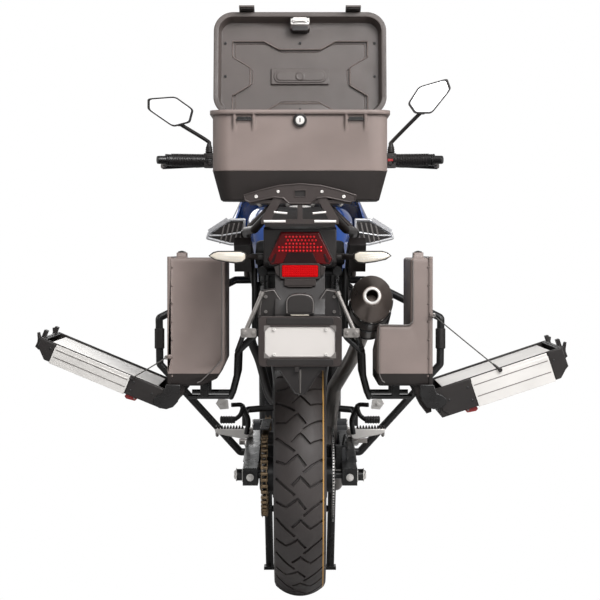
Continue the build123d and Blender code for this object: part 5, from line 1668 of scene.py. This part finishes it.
def makeBars():
    softened("handlebar", "steering", "blackSteel", 1.5, slot="black_steel")
    for side, label in bothSides:
        way = Vector((side * barWay.x, barWay.y, 0))
        bm = newShape()
        rib = [(0, 16.6), (0.7, 18.6), (2.6, 18.6), (3.4, 16.6)]
        addTurned(bm, onBar(side, bars["gripStart"]), way, rib, 28)
        repeated(bm, "grip_ribs_" + label, "steering", "blackPlastic", "grid",
                 gridOf(bars["ribs"], tuple(way * bars["ribStep"])))
        bm = newShape()
        weight = [(0, 15), (1, 17.5), (5, 17.5), (6, 12.5), (28, 12), (30, 10)]
        addTurned(bm, onBar(side, 384), way, weight, 28)
        addTurned(bm, onBar(side, 274), way, [(0, 18.5), (1, 21), (4, 21), (5, 18)], 28)
        placed(bm, "bar_ends_" + label, "steering", "blackSteel")
        # switch cube with its buttons
        bm = newShape()
        centre = onBar(side, 262)
        addBlock(bm, centre + Vector((-17, -22, -22)), centre + Vector((17, 20, 20)))
        addBlock(bm, centre + Vector((-9, -27, 4)), centre + Vector((9, -20, 15)))
        addTurned(bm, centre + Vector((0, -21, -9)), rearward, [(0, 6.5), (3, 6.5), (4, 5.4)], 20)
        placed(bm, "switch_cube_" + label, "steering", "blackPlastic", 2.4)
        # lever blade
        bm = newShape()
        start = Vector((side * 256, 262, 1140))
        blade = ((0, 0, 0), (30, 6, -3), (80, -10, -6), (128, -30, -7), (146, -40, -7))
        addTube(bm, [start + Vector((side * x, y, z)) for x, y, z in blade], [8, 7.5, 6.5, 6, 6.5, 8], 14)
        addTurned(bm, start + Vector((0, 0, -9)), up, [(0, 11), (1, 12), (17, 12), (18, 11)], 20)
        placed(bm, "lever_" + label, "steering", "steelGrey")
    bm = newShape()
    centre = onBar(1, 262)
    addBlock(bm, centre + Vector((-8, -26, -4)), centre + Vector((8, -21.5, 8)))
    placed(bm, "kill_switch", "steering", "latchRed", 2.0)
    # brake fluid cup on the right, cable loops to the steering head
    bm = newShape()
    cup = onBar(1, 232) + Vector((0, 34, 20))
    addTurned(bm, cup, up, [(-12, 15), (-10, 17), (14, 17), (15, 19), (21, 19), (22, 17)], 32)
    addRod(bm, cup + Vector((0, 0, -11)), onBar(1, 240) + Vector((0, 4, 2)), 7, 16)
    placed(bm, "fluid_cup", "steering", "blackPlastic", 0.5)
    bm = newShape()
    cables = (
        (3.6, ((0, 0, 0), (10, 16, 24), (44, 36, 24), (100, 50, -20)), ((62, 306, 1068), (40, 324, 1048))),
        (3.0, ((0, 4, -10), (24, 26, -16), (90, 48, -44)), ((70, 312, 1056), (46, 330, 1036))),
    )
    for side in leftRight:
        base = onBar(side, 250) + Vector((0, 20, 0))
        for radius, fromBar, atHead in cables:
            run = [base + Vector((-side * x, y, z)) for x, y, z in fromBar]
            addTube(bm, run + [(side * x, y, z) for x, y, z in atHead], radius, 10)
    placed(bm, "bar_cables", "steering", "blackSteel")
    # clamps that hold the bar
    bm = newShape()
    for side in leftRight:
        addTurned(bm, (side * 45 - 15, 308.6, 1087.6), (1, 0, 0), [(0, 17), (1, 19), (29, 19), (30, 17)], 28)
        for dy in (-12, 12):
            addSocketScrew(bm, (side * 45, 308.6 + dy, 1104), up, 4)
    placed(bm, "bar_clamps", "steering", "engineGrey", 0.5)


makeBars()


# mirrors: thin dark rim, glass painted white with a glow as painted reflection, ball joints, rubber boots
mirrors = dict(
    left=dict(outline=[(-441, 1326), (-360, 1332), (-307, 1294), (-317, 1256), (-367, 1243), (-441, 1294)],
              neck=(-350, 190, 1256)),
    right=dict(outline=[(343, 1360), (426, 1384), (437, 1353), (381, 1282), (331, 1282), (311, 1311)],
               neck=(356, 190, 1290)),
)


def shrunk(outline, share):
    cx = sum(x for x, z in outline) / len(outline)
    cz = sum(z for x, z in outline) / len(outline)
    return [(cx + (x - cx) * share, cz + (z - cz) * share) for x, z in outline]


def cutCorners(outline, cut=0.16):
    # each corner becomes a short curve
    points = []
    count = len(outline)
    for i, p in enumerate(outline):
        before, after = Vector(outline[i - 1]), Vector(outline[(i + 1) % count])
        here = Vector(p)
        a, b = here.lerp(before, cut), here.lerp(after, cut)
        for t in (0, 0.25, 0.5, 0.75, 1):
            points.append(tuple(a * (1 - t) ** 2 + here * 2 * t * (1 - t) + b * t ** 2))
    return points


def makeMirrors():
    bm = newShape()
    for side, label in bothSides:
        outline = mirrors[label]["outline"]
        edge = cutCorners(outline)
        small = cutCorners(shrunk(outline, 0.80))
        addSkin(bm, [[(x, 175, z) for x, z in edge], [(x, 181, z) for x, z in edge],
                     [(x, 192, z) for x, z in shrunk(edge, 0.93)], [(x, 196, z) for x, z in small]])
        neck = Vector(mirrors[label]["neck"])
        foot = onBar(side, 265) + Vector((0, 0, 23.4))
        addTube(bm, [foot, foot + Vector((0, 0, 22)), foot + Vector((side * 6, 0, 34)),
                     neck - Vector((side * 10, 0, 8)), neck], 5.6, 14)
        boot = [(0, 9), (4, 11), (7, 9.4), (10, 10.6), (13, 9), (16, 9.8), (19, 8), (26, 6.4)]
        addTurned(bm, foot + Vector((0, 0, -2)), up, boot, 20)
        bmesh.ops.create_uvsphere(bm, u_segments=20, v_segments=12, radius=10 * unit,
                                  matrix=Matrix.Translation(neck * unit))
    placed(bm, "mirror_housings", "steering", "blackPlastic", 0.8,
           replaces=("mirrors",))
    # the glass is painted near white and glows: a painted reflection
    bm = newShape()
    for label in mirrors:
        glass = cutCorners(shrunk(mirrors[label]["outline"], 0.9))
        addSkin(bm, [[(x, 175.2, z) for x, z in glass], [(x, 174.2, z) for x, z in shrunk(glass, 0.985)]])
    placed(bm, "mirror_glass", "steering", "mirrorPaintedReflection")


makeMirrors()


# seat: a stuffed cover with piping and stitches
seat = dict(voxel=0.007, pressure=4.0, frames=20, puff=0.006, seamX=88.0, stitches=66)


def makeSeat():
    cad = frame["nodes"]["seat"]
    mesh = cad.data.copy()
    pad = newObject("seat_cover", mesh)
    middle = sum((v.co for v in mesh.vertices), Vector()) / len(mesh.vertices)
    for v in mesh.vertices:  # drawn in a little, so that the stuffing has room inside the solid's box
        x, y, z = (here - centre for here, centre in zip(v.co, middle))
        v.co = middle + Vector((x * 0.962, y * 0.988, z * 0.96))
    shell = pad.modifiers.new("shell", "REMESH")
    shell.mode = "VOXEL"
    shell.voxel_size = seat["voxel"]
    pad.data = finishedMesh(pad)
    pad.modifiers.clear()
    start = [v.co.copy() for v in pad.data.vertices]
    cloth = pad.modifiers.new("stuffing", "CLOTH")
    cloth.settings.use_pressure = True
    cloth.settings.uniform_pressure_force = seat["pressure"]
    cloth.settings.effector_weights.gravity = 0.0
    for step in range(1, seat["frames"] + 1):
        bpy.context.scene.frame_set(step)
    puffed = finishedMesh(pad)
    pad.modifiers.clear()
    for v, old, new in zip(pad.data.vertices, start, puffed.vertices):
        move = new.co - old
        v.co = old + move * min(1.0, seat["puff"] / max(move.length, 1e-9))
    bpy.context.scene.frame_set(1)
    # sewn channels are pressed in across the saddle
    for v in pad.data.vertices:
        y = v.co.y / unit
        for line in (-150, -215, -280, -345):
            near = max(0.0, 1 - abs(y - line) / 9)
            if v.co.z / unit > 790:
                v.co.z -= 0.0035 * near * near * (3 - 2 * near)
    finer = pad.modifiers.new("finer", "SUBSURF")
    finer.levels = finer.render_levels = 1
    mesh = pad.data
    mesh.materials.clear()
    mesh.materials.append(paint["seatBlack"])
    for face in mesh.polygons:
        face.use_smooth = True
    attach(pad, "frame")
    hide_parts("seat")

    # piping along both edges and a row of stitches beside it
    def topAt(x, y):
        hit, spot, _, _ = pad.ray_cast(Vector((x, y, 1000)) * unit, Vector((0, 0, -1)))
        return Vector((x, y, spot.z / unit if hit else 850))

    bm = newShape()
    lines = {}
    for side in leftRight:
        lines[side] = [topAt(side * seat["seamX"], y) + up * 0.8 for y in range(-700, -99, 30)]
        addTube(bm, lines[side], 2.0, 10, 3)
    placed(bm, "seat_piping", "frame", "seatBlack")
    for side, label in bothSides:
        track = addLine("stitchLine", [place + Vector((-side * 6, 0, 0.2)) for place in lines[side]])
        bm = newShape()
        addTurned(bm, (0, 0, -2.6), up, [(0, 0.4), (0.8, 0.8), (4.4, 0.8), (5.2, 0.4)], 8)
        repeated(bm, "seat_stitches_" + label, "frame", "rackGrey", "track",
                 {"Track": track, "Count": seat["stitches"]})
        bpy.data.objects.remove(track)


makeSeat()
print("bars, mirrors and seat dressed")


# filler cap on the tank
fuelCap = dict(y=190, z=1005, facing=(0, 0.05, 1), screws=5, screwRing=39)


def makeFuelCap():
    y, z, facing, ring = fuelCap["y"], fuelCap["z"], fuelCap["facing"], fuelCap["screwRing"]
    bm = newShape()
    profile = [(0, 46), (5, 46), (7, 43), (7.6, 34), (10, 32), (10.6, 20), (9.6, 18)]
    addTurned(bm, (0, y, z), facing, profile, 48)
    placed(bm, "fuel_cap", "frame", "brightAluminium")
    bm = newShape()
    for k in range(fuelCap["screws"]):
        a = 2 * math.pi * k / fuelCap["screws"]
        addSocketScrew(bm, (ring * math.cos(a), y + ring * math.sin(a), z + 7), facing, 3)
    placed(bm, "cap_screws", "frame", "blackSteel")


makeFuelCap()


# front: lamp bowls and lenses, lamp trim, screen screws, dials
headlamps = dict(x=62.0, z=934.0)


def onNose(node, x, z):
    hit, spot, _, _ = frame["nodes"][node].ray_cast(Vector((x, 900, z)) * unit, Vector((0, -1, 0)))
    return spot.y / unit if hit else 560.0


def makeFront():
    bm = newShape()
    glass = newShape()
    for side in leftRight:
        x, z = side * headlamps["x"], headlamps["z"]
        y = onNose("headlamps", x, z)
        bowl = [(0, 38), (4, 38), (5.4, 36), (5.4, 33), (3.0, 31), (2.0, 14), (4.0, 12)]
        addTurned(bm, (x, y - 2, z), (0, 1, 0), bowl, 48)
        bmesh.ops.create_uvsphere(glass, u_segments=32, v_segments=16, radius=17 * unit,
                                  matrix=Matrix.Translation(Vector((x, y - 6, z)) * unit))
    placed(bm, "lamp_bowls", "frame", "brightAluminium")
    placed(glass, "lamp_lenses", "frame", "clearLens")
    bm = newShape()
    middle = headlamps["z"]
    corners = [(-118, 884), (118, 884), (118, 984), (-118, 984)]
    rim = []
    for (x0, z0), (x1, z1) in zip(corners, corners[1:] + corners[:1]):
        for k in range(8):
            x, z = x0 + (x1 - x0) * k / 8, z0 + (z1 - z0) * k / 8
            rim.append((x, onNose("headlamps", x * 0.985, middle + (z - middle) * 0.97), z))
    addBead(bm, rim, 3.0, True)
    addBead(bm, [(x, onNose("headlamps", x, middle) + 1, middle + 8 * math.cos(x / 12))
                 for x in range(-14, 15, 4)], 2.0)
    placed(bm, "lamp_trim", "frame", "blackPlastic")
    bm = newShape()
    for x in (-130, -70, 70, 130):
        screw = [(0, 8), (1.2, 8), (1.4, 5.5), (3.6, 5.2), (4.2, 3.8)]
        addTurned(bm, (x, onNose("windscreen", x, 1085) - 0.5, 1085), (0, 1, 0.2), screw, 20)
    placed(bm, "screen_screws", "frame", "blackPlastic")
    # dials behind the screen
    toRider = (0, -0.97, 0.26)
    bm = newShape()
    for x, r in ((-44, 30), (30, 22)):
        addTurned(bm, (x, 414, 1118), toRider, [(0, r + 3), (3, r + 3), (4, r), (1.6, r - 2)], 40)
    placed(bm, "dial_rims", "frame", "blackPlastic")
    bm = newShape()
    addTurned(bm, (-44, 413, 1118.4), toRider, [(0, 2), (3.4, 1.6)], 12)
    addRod(bm, (-44, 411.6, 1118.6), (-62, 412.4, 1130), 0.9, 8)
    placed(bm, "dial_needle", "frame", "latchRed")


makeFront()


# fork: gaiters, caps and axle bolts, placed by the steering axis
fork = dict(axleY=751.0, axleZ=318.6, offset=45.0, legX=100.0, top=765.0, gaiterFoot=326.0, folds=9, rise=8.5)


def upLeg(height, side):
    # a place on a fork leg's middle line, and the way up that leg
    rake = math.asin(-joints["steering"]["axis"][1])
    wayUp = Vector((0, -math.sin(rake), math.cos(rake)))
    wayAhead = Vector((0, math.cos(rake), math.sin(rake)))
    axle = Vector((0, fork["axleY"], fork["axleZ"]))
    foot = axle - wayAhead * fork["offset"]
    return foot + wayUp * height + wayAhead * fork["offset"] + Vector((side * fork["legX"], 0, 0)), wayUp


def makeFork():
    rise = fork["rise"]
    bm = newShape()
    for side in leftRight:
        for k in range(fork["folds"]):
            spot, way = upLeg(fork["gaiterFoot"] + k * rise, side)
            bulge = 29 - k * 0.3
            fold = [(0, 23), (rise * 0.25, bulge), (rise * 0.5, bulge), (rise - 0.3, 23)]
            addTurned(bm, spot, way, fold, 28)
    placed(bm, "fork_gaiters", "steering", "blackPlastic")
    bm = newShape()
    for side in leftRight:
        addBolt(bm, (side * 128, fork["axleY"], fork["axleZ"]), (side, 0, 0), 13, 0.4)
        cap, way = upLeg(fork["top"], side)
        addTurned(bm, cap, way, [(-2, 19), (4, 19), (6, 17), (6, 9), (10, 8)], 24)
    placed(bm, "fork_caps", "steering", "brightAluminium", 0.4)


makeFork()


# radiator fins and hoses, engine covers, exhaust clamps, crash bar sleeves
covers = dict(
    clutch=dict(side=1, y=145, radius=72, screws=9),
    alternator=dict(side=-1, y=150, radius=70, screws=8),
    pump=dict(side=1, y=35, radius=60, screws=6),
)
coverZ, coverX = 330, 133.6


def makeEngine():
    bm = newShape()
    addBlock(bm, (-128, 319.8, 646), (-126.6, 323.4, 772))
    repeated(bm, "radiator_fins", "frame", "steelGrey", "grid", gridOf(64, (4.0, 0, 0)))
    bm = newShape()
    upper = [(136, 300, 770), (144, 280, 776), (128, 240, 742), (84, 214, 700), (60, 200, 676)]
    lower = [(-136, 300, 646), (-142, 280, 620), (-118, 262, 560), (-92, 226, 470), (-70, 190, 440)]
    addTube(bm, upper, 13, 18)
    addTube(bm, lower, 13, 18)
    placed(bm, "coolant_hoses", "frame", "blackPlastic")
    softened("engine", "frame", "engineGrey", 2.5, slot="engine_grey")
    section = ((coverX, 0.9), (136, 0.86), (137.4, 0.7), (136.4, 0.62), (136.4, 0.3), (138.4, 0.24))
    for label, cover in covers.items():
        side, y, radius = cover["side"], cover["y"], cover["radius"]
        bm = newShape()
        addTurned(bm, (0, y, coverZ), (side, 0, 0), [(x, radius * share) for x, share in section], 48)
        placed(bm, label + "_cover", "frame", "engineGrey")
        bm = newShape()
        centre = Vector((side * 134, y, coverZ))
        addSocketScrew(bm, aroundAxle(centre, side * coverX, radius * 0.94, 0.2), (side, 0, 0), 4.4)
        repeated(bm, label + "_screws", "frame", "brightAluminium", "ring", ringOf(cover["screws"], centre))
    # exhaust flange and clamp
    bm = newShape()
    addTurned(bm, (50, 214, 600), (0, 1, 0), [(0, 30), (7, 30), (8, 24), (12, 22)], 32)
    addTurned(bm, (174, -572, 704), (0, 0.985, -0.174), [(-9, 21.0), (-8, 22.6), (8, 22.6), (9, 21.0)], 32)
    placed(bm, "pipe_clamps", "frame", "steelGrey")
    # crash bar sleeves
    bm = newShape()
    sleeve = [(0, 13.5), (1, 15), (19, 15), (20, 13.5)]
    for side in leftRight:
        addTurned(bm, (side * 118, 247, 297), (side, 0, 0), sleeve, 24)
        addTurned(bm, (side * 26, 384, 800), (side, 0, 0), sleeve, 24)
        addTurned(bm, (side * 410, 231, 600), up, [(0, 12.4), (2, 14.5), (58, 14.5), (60, 12.4)], 28)
    placed(bm, "crash_bar_sleeves", "frame", "blackPlastic")


makeEngine()

# solids that keep their shape and get rounded edges: body, finish, width of the rounding, slot
roundedSolids = dict(
    front_mudguard=("steering", "blackPlastic", 1.4, "black_plastic"),
    side_vents=("frame", "ventSilver", 2.5, "vent_silver"),
    luggage_rack=("frame", "rackDark", 1.6, "rack_grey"),
    rear_mudguard=("frame", "blackPlastic", 1.4, "black_plastic"),
    instrument_panel=("frame", "blackPlastic", 5.0, "black_plastic"),
    side_panels=("frame", "bodyBlue", 1.8, "body_blue"),
    fuel_tank=("frame", "bodyBlue", 2.0, "body_blue"),
    number_plate=("frame", "plateWhite", 0.4, "plate_white"),
    centre_stand=("centre_stand_body", "blackSteel", 1.0, "black_steel"),
    side_stand=("side_stand_body", "blackSteel", 1.0, "black_steel"),
)
# the faces of the blue solids that are black instead
blackParts = dict(
    side_panels=lambda middle, facing: middle.y < -0.42 or abs(facing.x) < 0.5,
    fuel_tank=lambda middle, facing: abs(middle.x) < 0.1,
)
for node, settings in roundedSolids.items():
    shell = softened(node, *settings)
    if node in blackParts:
        withSecondFinish(shell, "blackPlastic", blackParts[node])
print("front and engine dressed")

# the studio
studio = dict(cameraY=-6.771, cameraZ=0.888, focalPixels=2400.0, horizonPixel=250.0, frameSize=600.0)


def makeCamera():
    cam = bpy.data.cameras.new("studioCamera")
    cam.sensor_width = 36.0
    cam.lens = cam.sensor_width * studio["focalPixels"] / studio["frameSize"]
    cam.clip_end = 60.0
    camObject = newObject("studioCamera", cam)
    camObject.location = (0.0, studio["cameraY"], studio["cameraZ"])
    dip = math.atan((studio["frameSize"] / 2 - studio["horizonPixel"]) / studio["focalPixels"])
    camObject.rotation_euler = (math.pi / 2 - dip, 0, 0)
    bpy.context.scene.camera = camObject


# soft square lamps: place, tilt about X and turn about Z in degrees, side in metres, watts
studioLamps = dict(
    overhead=((0.4, -2.6, 4.4), 20, 0, 3.2, 90),
    behindCamera=((0.8, -6.2, 2.9), 68, 8, 2.4, 95),
    upperRight=((1.5, -3.0, 3.0), 50, 36, 1.4, 116),
    frontFill=((-1.4, 5.2, 3.4), -60, 15, 3.2, 90),
    rightSide=((3.8, -2.0, 2.2), 70, 62, 2.2, 60),
    leftSide=((-4.2, -0.6, 2.4), 68, -80, 2.6, 45),
)


def makeLamps():
    for name, (place, tilt, turn, size, power) in studioLamps.items():
        lamp = bpy.data.lights.new(name, "AREA")
        lamp.shape = "SQUARE"
        lamp.size = size
        lamp.energy = power
        lampObject = newObject(name, lamp)
        lampObject.location = place
        lampObject.rotation_euler = (math.radians(tilt), 0, math.radians(turn))


def makeRoom():
    # pale all round; what the machine's surfaces receive and mirror of it is darker
    world = bpy.data.worlds.new("paleRoom")
    bpy.context.scene.world = world
    world.use_nodes = True
    nodes = world.node_tree.nodes
    links = world.node_tree.links
    rays = nodes.new("ShaderNodeLightPath")
    seen = nodes.new("ShaderNodeMath")
    seen.operation = "MAXIMUM"
    shine = addNode(nodes, "ShaderNodeMath", {1: 0.22})
    shine.operation = "MULTIPLY"
    links.new(rays.outputs["Is Glossy Ray"], shine.inputs[0])
    links.new(rays.outputs["Is Camera Ray"], seen.inputs[0])
    links.new(shine.outputs["Value"], seen.inputs[1])
    level = addNode(nodes, "ShaderNodeMapRange", {"To Min": 0.18, "To Max": 1.0})
    links.new(seen.outputs["Value"], level.inputs["Value"])
    back = nodes["Background"]
    back.inputs["Color"].default_value = (1, 1, 1, 1)
    links.new(level.outputs["Result"], back.inputs["Strength"])


def makeFloor():
    floorMesh = bpy.data.meshes.new("studioFloor")
    reach = 20.0
    corners = [(-reach, -reach, 0), (reach, -reach, 0), (reach, reach, 0), (-reach, reach, 0)]
    floorMesh.from_pydata(corners, [], [(0, 1, 2, 3)])
    floor = newObject("studioFloor", floorMesh)
    floor.location.z = -0.0005
    floorPaint = bpy.data.materials.new("floorPale")
    floorPaint.use_nodes = True
    nodes = floorPaint.node_tree.nodes
    links = floorPaint.node_tree.links
    matte = nodes["Principled BSDF"]
    matte.inputs["Base Color"].default_value = (0.5, 0.5, 0.5, 1)
    matte.inputs["Roughness"].default_value = 0.9
    # it glows evenly to the camera and is plain matte to everything else
    glow = addNode(nodes, "ShaderNodeEmission", {"Strength": 1.0})
    rays = nodes.new("ShaderNodeLightPath")
    mix = nodes.new("ShaderNodeMixShader")
    links.new(rays.outputs["Is Camera Ray"], mix.inputs["Fac"])
    links.new(matte.outputs["BSDF"], mix.inputs[1])
    links.new(glow.outputs["Emission"], mix.inputs[2])
    links.new(mix.outputs["Shader"], nodes["Material Output"].inputs["Surface"])
    floorMesh.materials.append(floorPaint)


makeCamera()
makeLamps()
makeRoom()
makeFloor()
bpy.context.scene.view_settings.view_transform = "Standard"
print("studio ready")
